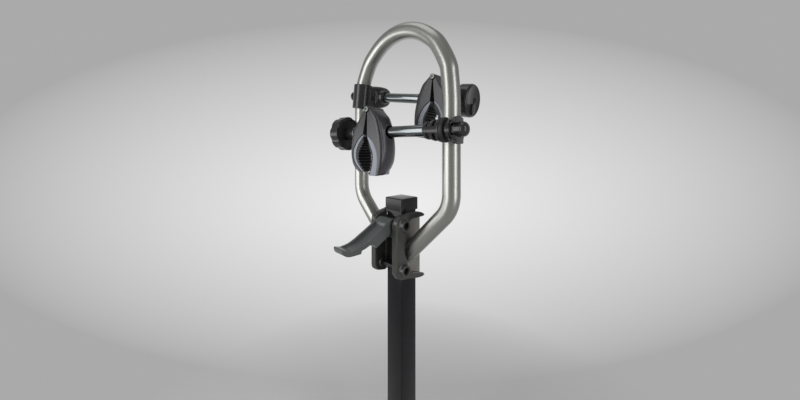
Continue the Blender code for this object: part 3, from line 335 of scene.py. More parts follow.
def as_object(bm, name="shape"):
    """Object of a bmesh, which is used up."""
    bmesh.ops.recalc_face_normals(bm, faces=bm.faces)
    mesh = bpy.data.meshes.new(name)
    bm.to_mesh(mesh)
    bm.free()
    obj = bpy.data.objects.new(name, mesh)
    scene.collection.objects.link(obj)
    return obj


def carve(bm, operation, others):
    """Exact boolean of one bmesh with others, one after the other. All are used up."""
    target = as_object(bm)
    for other in others:
        cutter = as_object(other)
        modifier = target.modifiers.new("carve", "BOOLEAN")
        modifier.operation = operation
        modifier.solver = "EXACT"
        modifier.object = cutter
        bpy.context.view_layer.update()
        done = evaluated(target)
        target.modifiers.clear()
        target.data = done
        bpy.data.objects.remove(cutter, do_unlink=True)
    result = bmesh.new()
    result.from_mesh(target.data)
    bpy.data.objects.remove(target, do_unlink=True)
    merge(result, 2e-6)
    return result


def cut(bm, *others):
    return carve(bm, "DIFFERENCE", others)


def join(bm, *others):
    return carve(bm, "UNION", others)


def together(*shapes):
    """Puts several bmeshes into one, for pieces that are one moulding."""
    whole = bmesh.new()
    for shape in shapes:
        mesh = bpy.data.meshes.new("part")
        shape.to_mesh(mesh)
        shape.free()
        whole.from_mesh(mesh)
        bpy.data.meshes.remove(mesh)
    return whole


def melted(bm, voxel, rounds):
    """Remeshes a rough union into one skin and smooths its joints, as a moulding's fillets."""
    obj = as_object(bm)
    modifier = obj.modifiers.new("melt", "REMESH")
    modifier.mode = "VOXEL"
    modifier.voxel_size = voxel
    done = evaluated(obj)
    bpy.data.objects.remove(obj, do_unlink=True)
    result = bmesh.new()
    result.from_mesh(done)
    bpy.data.meshes.remove(done)
    for _ in range(rounds):
        bmesh.ops.smooth_vert(result, verts=result.verts, factor=0.5, use_axis_x=True, use_axis_y=True,
                              use_axis_z=True)
    return result


def body_of(node):
    bodies = frame["record"]["behaviour"]["bodies"]
    return next(name for name, nodes in bodies.items() if node in nodes)


def slot_of(node):
    return next(s["material_slot"] for s in frame["record"]["subparts"] if s["node"] == node)


def piece(name, bm, finish, node, smooth=32.0):
    """Finished piece that stands for a CAD node and rides on that node's body."""
    merge(bm)
    bmesh.ops.holes_fill(bm, edges=[e for e in bm.edges if e.is_boundary])
    bmesh.ops.recalc_face_normals(bm, faces=bm.faces)
    if bm.calc_volume(signed=True) < 0:
        bmesh.ops.reverse_faces(bm, faces=bm.faces)
    for face in bm.faces:
        face.smooth = True
    mesh = bpy.data.meshes.new(name)
    bm.to_mesh(mesh)
    bm.free()
    mesh.set_sharp_from_angle(angle=math.radians(smooth))
    mesh.materials.append(finish.material)
    obj = bpy.data.objects.new(name, mesh)
    scene.collection.objects.link(obj)
    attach(obj, body_of(node))
    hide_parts(node)
    slot_of(node)


def refined(node, finish, edge):
    """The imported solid's own shape, merged, with its sharp edges eased."""
    bm = bmesh.new()
    bm.from_mesh(frame["nodes"][node].data)
    merge(bm, 2e-6)
    bmesh.ops.dissolve_limit(bm, angle_limit=math.radians(0.5), verts=bm.verts, edges=bm.edges)
    bmesh.ops.recalc_face_normals(bm, faces=bm.faces)
    ease_edges(bm, edge, 35.0, 2)
    piece(node + "_look", bm, finish, node)


def grown(stations):
    """Extrudes one closed outline through stations, each a full list of the outline's points."""
    bm = bmesh.new()
    place = bm.verts.layers.int.new("place")
    verts = [bm.verts.new(p) for p in stations[0]]
    for i, vert in enumerate(verts):
        vert[place] = i
    face = bm.faces.new(verts)
    for ring in stations[1:]:
        made = bmesh.ops.extrude_face_region(bm, geom=[face] + face.edges[:])["geom"]
        face = next(g for g in made if isinstance(g, bmesh.types.BMFace))
        for vert in face.verts:
            vert.co = ring[vert[place]]
    merge(bm)
    return bm


def block(low, high, place=Matrix()):
    """Rectangular block between two corners."""
    size = Vector(high) - Vector(low)
    bm = bmesh.new()
    bmesh.ops.create_cube(bm, size=1.0)
    bmesh.ops.scale(bm, vec=size, verts=bm.verts)
    bmesh.ops.translate(bm, vec=Vector(low) + size / 2, verts=bm.verts)
    return put(bm, place)


def barrel(low, high, radius, place=Matrix(), edge=0.6 * MM, steps=48):
    """Solid round barrel along the frame's X axis with eased rims."""
    return turned([(low, 0), (low, radius - edge)] + arc((low + edge, radius - edge), edge, 180, 90, 3)
                  + arc((high - edge, radius - edge), edge, 90, 0, 3) + [(high, 0)], place, steps)


def mm(points):
    """Pairs given in millimetres, as metres."""
    return [(a * MM, b * MM) for a, b in points]


# Sizes of the rack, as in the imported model

MAST_SIDE = 42 * MM
MAST_CORNER = 2.6 * MM
MAST_TOP = 598 * MM
CAP_SIDE = 48 * MM
CAP_TOP = 603 * MM
CAP_SKIRT = 25.5 * MM
CARRIAGE_Z = 513.7 * MM
BOLT_PITCH = 84 * MM
BOLT_Y = -31.4 * MM
BOLT_RADIUS = 4 * MM
CHANNEL_HALF = 28 * MM
BRACKET_OUTER = 37 * MM
BRACKET_FRONT = BOLT_Y - 18.6 * MM
CHANNEL_FRONT = -22 * MM
HORN_START = 11.4 * MM
HORN_TIP = 44.1 * MM
BOSS_FACE = 45 * MM
BOSS_RADIUS = 11.6 * MM
SOCKET_RADIUS = 7.2 * MM
SOCKET_DEPTH = 9 * MM
SOCKET_WIDTH = 9.6 * MM
BORE_PLAY = 0.25 * MM
HORN_FLARE = 15 * MM
HORN_SWELL = 4 * MM
HORN_CUTS = 16
HOOP_RADIUS = 15.95 * MM
HOOP_HALF = 126 * MM
HOOP_RISE = 136 * MM
HOOP_Y = -5 * MM
HOOP_BEND = 60 * MM
HOOP_VERTEX_Z = 596.4 * MM
HOOP_BORE = 16.3 * MM
CROWN_Z = 800 * MM
CROWN_START = 40
LEAN = math.tan(math.radians(7.9))
LEAN_START_Z = 803 * MM
CAM_HIGH = 7.6 * MM
CAM_LOW = 6.7 * MM
LEVER_HALF = 19.2 * MM
LEVER_TILT = math.radians(27.0)
TROUGH_HALF = 14.2 * MM
BELLY_HALF = 15.2 * MM
ROD_RADIUS = 10.25 * MM
CAP_RADIUS = 11.8 * MM
CAP_DOME = 8.8 * MM
SLEEVE_RADIUS = 20.6 * MM
LONG = 100 * MM
PIN_HEIGHT = 43 * MM
KNUCKLE = 5.4 * MM
CLAMP_DEPTH = 22 * MM
LIP_WIDTH = 2.6 * MM
LIP_RISE = 0.6 * MM
STUD_RADIUS = 4 * MM
BOSS_END = 37.5 * MM
ROCKER_CENTRE = 31 * MM
ROCKER_RADIUS = 12 * MM
WASHER_RADIUS = 13.2 * MM
WASHER_THICKNESS = 4 * MM
PAD_RIBS = 11
RIB_HEIGHT = 3.3 * MM
SEAM_GAP = 0.95 * MM
KNOB_DISH = 0.9 * MM
FLUTES = 8
FLUTE_DEPTH = 0.055
GAP = 0.3 * MM

ARM_A = {"tag": "a", "leg": -1, "turn": 6.0, "back": 36.5 * MM, "z": 824.7 * MM, "reach": 175.6 * MM,
         "tail": -68 * MM, "neck": 0.0, "knob": (60 * MM, 83 * MM), "radius": 31.5 * MM, "edge": 4.5 * MM}
ARM_B = {"tag": "b", "leg": 1, "turn": 10.0, "back": -35 * MM, "z": 730.8 * MM, "reach": 138.6 * MM,
         "tail": -29 * MM, "neck": 11 * MM, "knob": (67 * MM, 88 * MM), "radius": 34 * MM, "edge": 3 * MM}


def lean_x(z):
    return HOOP_HALF - (z - LEAN_START_Z) * LEAN


def leg_axis(arm):
    return Vector((LEAN, 0, 1)).normalized() if arm is ARM_A else Vector((0, 0, 1))


def leg_point(arm):
    return Vector((arm["leg"] * (lean_x(arm["z"]) if arm is ARM_A else HOOP_HALF), HOOP_Y, arm["z"]))


def leg_frame(arm):
    """Local X up the hoop's leg, local Z to the rear."""
    return axes(leg_point(arm), leg_axis(arm), (0, 1, 0))


def rod_frame(arm, along=0.0):
    """Local X along the rod to the knob, local Z up."""
    up = leg_axis(arm)
    turn = math.radians(arm["turn"])
    rear = 1 if arm["back"] > 0 else -1
    way = Vector((0, 1, 0)).cross(up) * -arm["leg"] * math.cos(turn) + Vector((0, rear * math.sin(turn), 0))
    return axes(leg_point(arm) + Vector((0, arm["back"], 0)) + way * along, way, up)


def clamp_frame(arm):
    """Local X (a) to the knob, local Y (n) away from the clamp's front face, local Z up."""
    place = rod_frame(arm, arm["reach"])
    return place if arm is ARM_A else place @ Matrix.Scale(-1, 4, (0, 1, 0))


# Frames at the origin: outlines stood across a clamp, round shapes toward the rod, stood up and lying along Y

ACROSS = axes((0, 0, 0), (1, 0, 0), (0, -1, 0))
INWARD = axes((0, 0, 0), (-1, 0, 0), (0, 0, 1))
UPRIGHT = axes((0, 0, 0), (0, 0, 1), (1, 0, 0))
DEPTHWISE = axes((0, 0, 0), (0, 1, 0), (1, 0, 0))
LOCK_SPOT = axes((0, 5 * MM, MM), (1, 0, 0), (0, 0, 1))

# Finishes of the rack

mast_paint = skin("mast_paint", (0.011, 0.011, 0.013), 0.17, cloud=0.15, grain=1600, depth=0.00001)
mast_paint.fill(mast_paint.shader, {"Specular IOR Level": 0.25})
cap_plastic = skin("cap_plastic", (0.020, 0.020, 0.022), 0.17, cloud=0.10, grain=1300)
cap_plastic.fill(cap_plastic.shader, {"Specular IOR Level": 0.35})
zinc_plate = skin("zinc_plate", (0.27, 0.262, 0.238), 0.45, 0.6, cloud=0.14, stretch=(1, 1, 0.15),
                  depth=0.00001)
slide_plastic = skin("slide_plastic", (0.018, 0.018, 0.018), 0.5)
cast_black = skin("cast_black", (0.058, 0.058, 0.055), 0.24, cloud=0.14, grain=900, depth=0.00004)
bolt_black = skin("bolt_black", (0.030, 0.030, 0.031), 0.34, 0.6, cloud=0.2, depth=0.00001)
hoop_satin = skin("hoop_satin", (0.39, 0.392, 0.37), 0.34, 1.0, cloud=0.05, grain=2200, depth=0.000001,
                  rubbed=0.01, patch=10.0)
lever_cast = skin("lever_cast", (0.100, 0.105, 0.106), 0.30, cloud=0.10, grain=900, depth=0.00004)
rod_steel = {arm["tag"]: turned_steel("rod_" + arm["tag"] + "_steel", rod_frame(arm).col[0].xyz,
                                      (0.186, 0.202, 0.208), 0.15) for arm in (ARM_A, ARM_B)}
# Clamp plastics with painted shade: each darkens toward its clamp's top, from 75 mm to 5 mm below the given
# pin height.
shaded_clamp_plastic = {tag: skin("shaded_clamp_plastic_" + tag, (0.052, 0.052, 0.058), 0.29, cloud=0.10, grain=1000,
                           painted_shade_span=(pin - 75 * MM, pin - 5 * MM))
                 for tag, pin in (("a", 843 * MM), ("b", 773 * MM))}
collar_plastic = skin("collar_plastic", (0.024, 0.024, 0.025), 0.20, cloud=0.10, grain=1100)
ring_rubber = skin("ring_rubber", (0.011, 0.011, 0.012), 0.55, cloud=0.2)
lining = skin("lining", (0.30, 0.32, 0.37), 0.45, cloud=0.10, grain=800, depth=0.00004)
pad_rubber = skin("pad_rubber", (0.014, 0.014, 0.016), 0.52, cloud=0.2, grain=700, depth=0.00005)
pin_zinc = skin("pin_zinc", (0.15, 0.16, 0.15), 0.36, 1.0, cloud=0.12, depth=0.00001)
knob_plastic = skin("knob_plastic", (0.024, 0.024, 0.026), 0.20, cloud=0.10, grain=1000)
lock_steel = skin("lock_steel", (0.012, 0.012, 0.013), 0.4, 0.3, cloud=0.15, depth=0.00001)


# Mast and sliding carriage

def rounded_square(side, corner):
    """Outline of a square with rounded corners."""
    half = side / 2 - corner
    outline = []
    for i, (x, y) in enumerate(((half, half), (-half, half), (-half, -half), (half, -half))):
        outline += arc((x, y), corner, 90 * i, 90 * i + 90, 8)
    return outline


def dress_mast():
    refined("mast_tube", mast_paint, edge=0.3 * MM)
    refined("mast_foot_plug", cap_plastic, edge=0.5 * MM)
    square = rounded_square(CAP_SIDE, 3.2 * MM)
    shoulder = CAP_TOP - 3.4 * MM
    levels = [(1.0, CAP_TOP - CAP_SKIRT), (1.0, shoulder)]
    for turn in (18, 36, 54, 72, 90):
        rise = 2.2 * MM * math.sin(math.radians(turn))
        levels.append((0.93 + 0.07 * math.cos(math.radians(turn)), shoulder + rise))
    levels += [(s, CAP_TOP - 1.2 * MM * s * s) for s in (0.75, 0.5, 0.25)]
    cap = grown([[(x * s, y * s, z) for x, y in square] for s, z in levels])
    inside = slab(rounded_square(MAST_SIDE + 2 * GAP, MAST_CORNER), CAP_TOP - CAP_SKIRT - MM, MAST_TOP + GAP)
    piece("mast_cap_look", cut(cap, inside), cap_plastic, "mast_cap")


def bracket_side():
    """Side view of a bracket as (behind the bolts, height)."""
    upper = [(-15.1, 54.5), (-6.6, 59), (11.4, 62.5), (29.4, 64.4), (39.4, 62.6), (44.1, 58.6)]
    under = [(42.4, 55.4), (33.4, 53.0), (22.4, 51.0), (15.6, 46.0), (12.8, 38.0), (12.0, 31.5),
             (8.8, 23.5), (4.8, 13.0), (3.0, 0.0)]
    half = mm([(-18.6, 46), (-17.6, 51)]) + spline(mm(upper), 5) + spline(mm(under), 5)
    return half + [(y, -z) for y, z in reversed(half[:-1])]


def bolt_height(side):
    return CARRIAGE_Z + side * BOLT_PITCH / 2


def bolt_frame(z):
    """Local X along the bolt, local Z up."""
    return axes((0, BOLT_Y, z), (1, 0, 0), (0, 0, 1))


def bracket(node, side):
    """Cast side bracket with flared horns, a rounded rim and two bored bosses."""
    inner = CHANNEL_HALF + GAP
    upright = axes((0, BOLT_Y, CARRIAGE_Z), (0, 1, 0), (1, 0, 0))
    bm = slab(bracket_side(), inner, BRACKET_OUTER)
    rim = [e for e in bm.edges if all(v.co.z > BRACKET_OUTER - 1e-6 for v in e.verts)]
    bmesh.ops.bevel(bm, geom=rim, offset=1.8 * MM, segments=4, profile=0.5, affect="EDGES", material=-1)
    reach = HORN_TIP - HORN_START
    for i in range(HORN_CUTS):
        bmesh.ops.bisect_plane(bm, geom=bm.verts[:] + bm.edges[:] + bm.faces[:], dist=1e-7,
                               plane_co=(HORN_START + reach * i / HORN_CUTS, 0, 0), plane_no=(1, 0, 0))
    for vert in bm.verts:
        share = max(0.0, (vert.co.x - HORN_START) / reach)
        thick = (vert.co.z - inner) / (BRACKET_OUTER - inner)
        vert.co.z += HORN_FLARE * share ** 1.6 + HORN_SWELL * (1 - thick) * share
    bmesh.ops.triangulate(bm, faces=bm.faces)
    put(bm, upright)
    back = CHANNEL_FRONT - GAP
    cheek = [(BRACKET_FRONT, 45 * MM), (BRACKET_FRONT + 4.5 * MM, 53.5 * MM),
             (BRACKET_FRONT + 12.5 * MM, 58 * MM), (back, 61 * MM)]
    cheek += [(y, -z) for y, z in reversed(cheek)]
    cheek = slab([(y - BOLT_Y, z) for y, z in cheek], CHANNEL_HALF - 4 * MM, inner + 1.7 * MM, upright)
    seat = BOSS_FACE - SOCKET_DEPTH
    bore = BOLT_RADIUS + BORE_PLAY
    wide = SOCKET_RADIUS + 1.2 * MM
    boss = [(inner + 2 * MM, bore), (inner + 2 * MM, BOSS_RADIUS), (BRACKET_OUTER + MM, BOSS_RADIUS),
            (BRACKET_OUTER + 2.4 * MM, 11 * MM), (BOSS_FACE - 1.6 * MM, 10.6 * MM)]
    boss += arc((BOSS_FACE - 1.1 * MM, 9.5 * MM), 1.1 * MM, 80, 0, 5)
    boss += [(BOSS_FACE, SOCKET_RADIUS + 0.7 * MM), (BOSS_FACE - 0.7 * MM, SOCKET_RADIUS),
             (seat, SOCKET_RADIUS), (seat, bore)]
    hole = [(0, 0), (0, bore + MM), (seat - MM, bore + MM), (seat - MM, wide), (BOSS_FACE + MM, wide),
            (BOSS_FACE + MM, 0)]
    shapes, bosses, holes = [cheek], [], []
    for end in (1, -1):
        place = bolt_frame(bolt_height(end))
        shapes.append(barrel(inner + MM, BRACKET_OUTER + 1.2 * MM, BOSS_RADIUS + MM, place, MM))
        bosses.append(turned(boss, place, 72, closed=True))
        holes.append(turned(hole, place, 48))
    bm = cut(join(bm, *shapes), *holes)
    bm = together(melted(bm, 0.75 * MM, 2), *bosses)
    if side < 0:
        bmesh.ops.scale(bm, vec=(-1, 1, 1), verts=bm.verts)
    piece(node + "_look", bm, cast_black, node, 50)


def cross_bolt(node, z):
    """Socket-head bolt with a chamfered head."""
    seat = BOSS_FACE - SOCKET_DEPTH + GAP
    head = BOSS_FACE - 2.2 * MM
    radius = SOCKET_RADIUS - 0.5 * MM
    profile = [(-seat - 5.5 * MM, 0), (-seat - 5.5 * MM, BOLT_RADIUS - 0.5 * MM),
               (-seat - 5 * MM, BOLT_RADIUS), (seat, BOLT_RADIUS), (seat, radius)]
    profile += arc((head - 0.9 * MM, radius - 0.9 * MM), 0.9 * MM, 90, 0, 4) + [(head, 0)]
    hexagon = arc((0, 0), SOCKET_WIDTH / math.sqrt(3), 0, 300, 5)
    socket = slab(hexagon, head - 5 * MM, head + MM, axes((0, BOLT_Y, z), (0, 0, 1), (1, 0, 0)))
    bolt = cut(turned(profile, bolt_frame(z), 48), socket)
    piece(node + "_look", bolt, bolt_black, node)


def dress_carriage():
    refined("carriage_channel", zinc_plate, edge=0.4 * MM)
    refined("guide_liner", slide_plastic, edge=0.3 * MM)
    bracket("bracket_right", 1)
    bracket("bracket_left", -1)
    cross_bolt("pivot_bolt", bolt_height(1))
    cross_bolt("lower_bolt", bolt_height(-1))
    for node in ("pivot_nut", "lower_nut"):
        refined(node, bolt_black, edge=0.4 * MM)
    for node in ("spacer_left", "spacer_right"):
        refined(node, cast_black, edge=0.3 * MM)
    refined("pressure_shoe", slide_plastic, edge=0.3 * MM)


# Hoop

def hoop_line():
    """Centre line of the hoop from the left foot over the top to the right foot."""
    tangent = HOOP_BEND * math.tan(math.radians(22.5))
    foot_x = CHANNEL_HALF + GAP
    bend = arc((HOOP_HALF - HOOP_BEND, HOOP_VERTEX_Z + tangent), HOOP_BEND, 0, -45, 24)
    leg = [(foot_x, HOOP_VERTEX_Z - (HOOP_HALF - foot_x))] + bend[::-1]
    shoulder = [(HOOP_HALF, LEAN_START_Z - z) for z in (110 * MM, 40 * MM, 16 * MM)]
    shoulder += [(lean_x(LEAN_START_Z + z), LEAN_START_Z + z) for z in (10 * MM, 28 * MM, 44 * MM)]
    crown = []
    for i in range(5):
        turn = math.radians(CROWN_START + 12.5 * i)
        swell = 0 if i else MM
        crown.append((HOOP_HALF * math.cos(turn) + swell * math.cos(turn),
                      CROWN_Z + HOOP_RISE * math.sin(turn) + swell * math.sin(turn)))
    right = leg + spline(shoulder + crown + [(-crown[-2][0], crown[-2][1])], 10)[:-10]
    # Smoothing passes that fade out above and below the start of the lean
    for _ in range(60):
        spots = [Vector(p) for p in right]
        for i in range(1, len(spots) - 1):
            share = max(0.0, 1.0 - abs(right[i][1] - LEAN_START_Z) / (62 * MM))
            right[i] = tuple(spots[i].lerp((spots[i - 1] + spots[i + 1]) / 2, 0.6 * share))
    left = [(-x, z) for x, z in right]
    return [Vector((x, HOOP_Y, z)) for x, z in left + right[-2::-1]]


def dress_hoop():
    """Hoop whose feet end on the channel's sides."""
    line = hoop_line()
    line = [line[0] + (line[0] - line[1]) * 0.2] + line[1:-1] + [line[-1] + (line[-1] - line[-2]) * 0.2]
    bar = rope(line, HOOP_RADIUS, 48)
    face = CHANNEL_HALF + GAP
    middle = block((-face, -60 * MM, 400 * MM), (face, 60 * MM, 560 * MM))
    piece("hoop_look", cut(bar, middle), hoop_satin, "hoop_tube", 60)


# Cam lever

def dress_lever():
    """Trough-shaped cast lever with rounded rims and a curled tip."""
    way = (0, -math.cos(LEVER_TILT), -math.sin(LEVER_TILT))
    place = axes((0, BOLT_Y, bolt_height(1)), way, (-1, 0, 0))
    top = [(6, 15.2), (30, 15.4), (60, 15.4), (86, 16.4), (104, 22.6), (113, 30.5), (116.5, 34.0)]
    under = [(119.6, 32.6), (119.8, 26.5), (115.4, 18.4), (106, 13.2), (93.0, 6.8)]
    notch = [(88.5, 10.5), (82, 8.6), (70, 6.6)]
    belly = [(64, 2.0), (61, -7.4), (26, -7.4), (10, -7.4)]
    outline = mm(spline(top, 10) + spline(under, 10) + spline(notch, 6) + belly)
    outline += arc((0, 0), CAM_HIGH, -75, -118, 12) + arc((0, 0), CAM_LOW, -135, -225, 20)
    outline += mm([(-0.8, 11.0)])
    bm = slab(outline, -LEVER_HALF, LEVER_HALF)
    ease_edges(bm, 1.2 * MM, 70, 3, keep=lambda e: min(v.co.x for v in e.verts) > CAM_HIGH)
    trough = mm(spline([(24, 9.4), (58, 9.0), (74, 10.2), (88, 13.6), (101, 18.6), (109, 26)], 8))
    trough = slab(mm([(20, 30), (20, 14)]) + trough + mm([(109, 40)]), -TROUGH_HALF, TROUGH_HALF)
    ease_edges(trough, 3 * MM, 60, 4, keep=lambda e: max(v.co.y for v in e.verts) < 26 * MM
               and min(abs(v.co.z) for v in e.verts) > TROUGH_HALF - 0.1 * MM)
    hollow = slab(mm([(14, -12), (14, 2.0), (22, 5.6), (58, 5.6), (58, -12)]), -BELLY_HALF, BELLY_HALF)
    bore = barrel(-40 * MM, 40 * MM, BOLT_RADIUS + BORE_PLAY, UPRIGHT)
    bm = melted(cut(bm, trough, hollow, bore), 0.6 * MM, 2)
    for vert in bm.verts:
        beyond = max(0.0, (vert.co.x - 92 * MM) / (28.5 * MM))
        vert.co.z *= 1.0 - 0.42 * beyond ** 3
    piece("lever_look", put(bm, place), lever_cast, "cam_lever", 60)


# Collars on the hoop's legs

def superellipse(half_width, half_height, steps, power):
    """Outline between an ellipse, at power 2, and its box."""
    outline = []
    for i in range(steps):
        turn = 2 * math.pi * i / steps
        c, d = math.cos(turn), math.sin(turn)
        outline.append((math.copysign(abs(c) ** (2 / power), c) * half_width,
                        math.copysign(abs(d) ** (2 / power), d) * half_height))
    return outline


def dress_collar_a():
    """Smooth moulding: a sleeve on the left leg that swells into a bulb round the rod."""
    low, high = -32 * MM, 23.5 * MM
    leg, place = leg_frame(ARM_A), rod_frame(ARM_A)
    sleeve = barrel(low, high, 21.2 * MM, leg, 1.4 * MM, 72)
    # Rearward place, left side, right side and half height of each station, in millimetres
    bulb = [(-35, -20, 20, 27.0), (-20, -22, 23, 27.2), (-8, -25, 31, 27.0), (4, -26, 36.5, 26.0),
            (14, -24, 37.5, 23.5), (22, -18, 32, 19.0), (27, -10, 21, 12.5), (29, -4, 9, 6.0)]
    stations = []
    for y, x0, x1, height in spline(bulb, 5):
        share = min(1.0, max(0.0, (y + 20) / 30))
        ring = superellipse((x1 - x0) / 2 * MM, height * MM, 64, 3.0)
        middle, lift = (x0 + x1) / 2 * MM, (low + high) / 2 * (1 - share)
        stations.append([(x + middle, y * MM, z + lift) for x, z in ring])
    bulb = put(grown(stations), place)
    neck = mm([(0, 0), (0, 17.5), (30, 16.6), (35, 15.4), (37.4, 14.0), (38.4, 12.4), (38.4, 0)])
    neck = turned(neck, place, 72)
    mouth = 18.9 * MM
    throat = [(-60 * MM, 0), (-60 * MM, mouth), (low, mouth), (-16 * MM, HOOP_BORE)]
    throat += [(16 * MM, HOOP_BORE), (high, mouth), (60 * MM, mouth), (60 * MM, 0)]
    throat = turned(throat, leg, 64)
    rod_hole = barrel(-40 * MM, 60 * MM, ROD_RADIUS + GAP, place)
    bm = cut(join(sleeve, bulb, neck), throat, rod_hole)
    piece("collar_a_look", melted(bm, 0.8 * MM, 10), collar_plastic, "collar_a", 60)


def ribbed_cone(start, end, start_radius, end_radius, floor, ribs):
    """Outline of a ribbed cone with rounded ribs, as (along, radius)."""
    pitch = (end - start) / (2 * ribs - 1)
    profile = [(start, 0)]
    for i in range(ribs):
        low = start + 2 * i * pitch
        radius = start_radius + (end_radius - start_radius) * i / (ribs - 1)
        profile += [(low, radius), (low + pitch, radius + (end_radius - start_radius) * 0.25)]
        if i < ribs - 1:
            profile += [(low + 1.1 * pitch, floor), (low + 1.9 * pitch, floor)]
    profile += [(end, 0)]
    return [profile[0]] + eased(profile, 0.8 * MM, 3)[1:-1] + [profile[-1]]


def band(start, end, radius, low_radius):
    """Smooth band along the front of a ribbed cone."""
    rings = []
    for x, outer in ((start, radius), (end, low_radius)):
        outline = arc((0, 0), outer - 0.3 * MM, 73, 107, 12) + mm([(-4, 6), (4, 6)])
        rings.append([(x, across, out) for out, across in outline])
    return grown(rings)


def dress_collar_b():
    """Ribbed collar on the right leg: inner cone, rubber ring, end cone and the tall sleeve."""
    place, leg = rod_frame(ARM_B), leg_frame(ARM_B)

    def along_leg(radius):
        return barrel(-LONG, LONG, radius, leg, 0.1 * MM)

    rod_hole = barrel(-60 * MM, 60 * MM, ROD_RADIUS + GAP, place)
    cone = turned(ribbed_cone(-7.6 * MM, 24 * MM, 20.6 * MM, 15.6 * MM, 12.4 * MM, 3), place)
    sleeve = barrel(-17.5 * MM, 17.5 * MM, SLEEVE_RADIUS, leg, 1.0 * MM, 72)
    web = block(Vector((-6.5, -28, -15)) * MM, Vector((22, -4, 15)) * MM, place)
    tall = barrel(-22.3 * MM, 22.3 * MM, SLEEVE_RADIUS - 0.12 * MM, leg, 1.6 * MM, 60)
    away = block(Vector((-18, -60, -60)) * MM, Vector((60, 80, 60)) * MM, place)
    tall = cut(tall, away, along_leg(HOOP_BORE))
    body = join(cone, put(band(-7 * MM, 23.6 * MM, 20.4 * MM, 16 * MM), place), sleeve, web)
    body = cut(body, barrel(-60 * MM, -7.6 * MM, 23 * MM, place, 0.1 * MM))
    body = cut(body, along_leg(HOOP_BORE), rod_hole)
    piece("collar_b_look", together(body, tall), collar_plastic, "collar_b", 40)

    ring = eased(mm([(-8.0, 10.6), (-8.0, 20.6), (-14.6, 20.6), (-14.6, 10.6)]), 1.6 * MM, 6, True)
    ring = cut(turned(ring, place, closed=True), along_leg(SLEEVE_RADIUS + 0.4 * MM))
    piece("collar_ring_look", ring, ring_rubber, "collar_b_ring", 40)

    end = turned(ribbed_cone(-36 * MM, -18 * MM, 22.2 * MM, 17.6 * MM, 14.6 * MM, 2), place)
    hub = barrel(-19 * MM, -15 * MM, 15.6 * MM, place)
    end = join(end, hub, put(band(-35.5 * MM, -18.4 * MM, 22 * MM, 17.8 * MM), place))
    slot = block(Vector((-40, 4, -9.5)) * MM, Vector((-26, 30, 9.5)) * MM, place)
    cap_hole = barrel(-60 * MM, 0, CAP_RADIUS + 0.4 * MM, place, 0.1 * MM)
    end = cut(end, slot, cap_hole, along_leg(SLEEVE_RADIUS + 0.4 * MM))
    piece("collar_end_look", end, collar_plastic, "collar_b_end", 40)


def dress_rod(arm):
    """Round rod and its domed end cap; with a neck the cap is longer and has a groove round it."""
    node = "rod_" + arm["tag"]
    place = rod_frame(arm)
    rod = barrel(arm["tail"], arm["reach"] - 20 * MM, ROD_RADIUS, place, 0.8 * MM, 96)
    piece(node + "_look", rod, rod_steel[arm["tag"]], node)
    base = arm["tail"] - GAP
    neck = base - arm["neck"]
    dome = [(base, 0), (base, CAP_RADIUS)]
    if arm["neck"]:
        dome += [(neck, CAP_RADIUS), (neck - 0.7 * MM, CAP_RADIUS - 0.8 * MM), (neck - 1.4 * MM, CAP_RADIUS)]
    for turn in range(0, 91, 6):
        rise = CAP_DOME * math.sin(math.radians(turn))
        dome.append((neck - 3 * MM - rise, CAP_RADIUS * math.cos(math.radians(turn))))
    piece(node + "_cap_look", turned(dome, place, 72), collar_plastic, node + "_cap")


# Frame clamps: outlines as (a, distance below the hinge pin), from the top down

INNER = {"side": -1, "bulge": 12.5 * MM, "corner": 11 * MM,
         "edge": [(5.4, -1), (12, 7.5), (18.7, 17), (24, 35), (27.6, 53), (30, 70), (30.8, 86), (29.6, 104),
                  (24.5, 122.5)],
         "seam": [(0.8, 47.6), (14, 59.7), (21.7, 73.8), (25.4, 88), (25.2, 105), (21.6, 123.4)],
         "seat": [(0.8, 54.5), (7.2, 68), (13.0, 82), (13.4, 95), (10.6, 109), (5.2, 123.4)],
         "crest": [(0.9, 61), (3.2, 70), (7.6, 83), (8.0, 95), (5.6, 109), (1.6, 121)],
         "slit": [(0.8, 7.2), (5.2, 4.2)]}
OUTER = {"side": 1, "bulge": 3.6 * MM, "corner": 4 * MM,
         "edge": [(5.4, 0), (15.2, 14.5), (24.8, 26.6), (32.6, 41), (35.8, 57), (38.2, 74), (37.4, 91),
                  (32.0, 106), (19.0, 118)],
         "seam": [(9.6, 46), (15.5, 50), (23.1, 56.8), (29.1, 64.8), (34.0, 74), (35.6, 83), (34.6, 91),
                  (31.0, 99.5), (24.5, 107.5), (14.5, 116.5)],
         "seat": [(10.0, 51), (15.8, 56.8), (22.0, 64.8), (26.4, 73.5), (28.3, 83), (27.6, 92), (24.0, 100),
                  (18.0, 108), (9.5, 117)],
         "crest": [(8.0, 60), (12.6, 67), (18.6, 76), (21.4, 85), (20.6, 95), (15.4, 105), (6.8, 115)],
         "slit": [(1.6, 7.2), (5.2, 4.4)]}


def below_pin(points, steps):
    """Smooth line of an outline's points in the clamp's frame, in metres."""
    return spline([(a * MM, PIN_HEIGHT - z * MM) for a, z in points], steps)


def inward(points, distance):
    """Moves an open curve sideways, toward the middle of the clamp."""
    moved = []
    for i, (a, z) in enumerate(points):
        before, after = points[max(i - 1, 0)], points[min(i + 1, len(points) - 1)]
        along = Vector((after[0] - before[0], after[1] - before[1])).normalized()
        moved.append((a + along.y * distance, z - along.x * distance))
    return moved


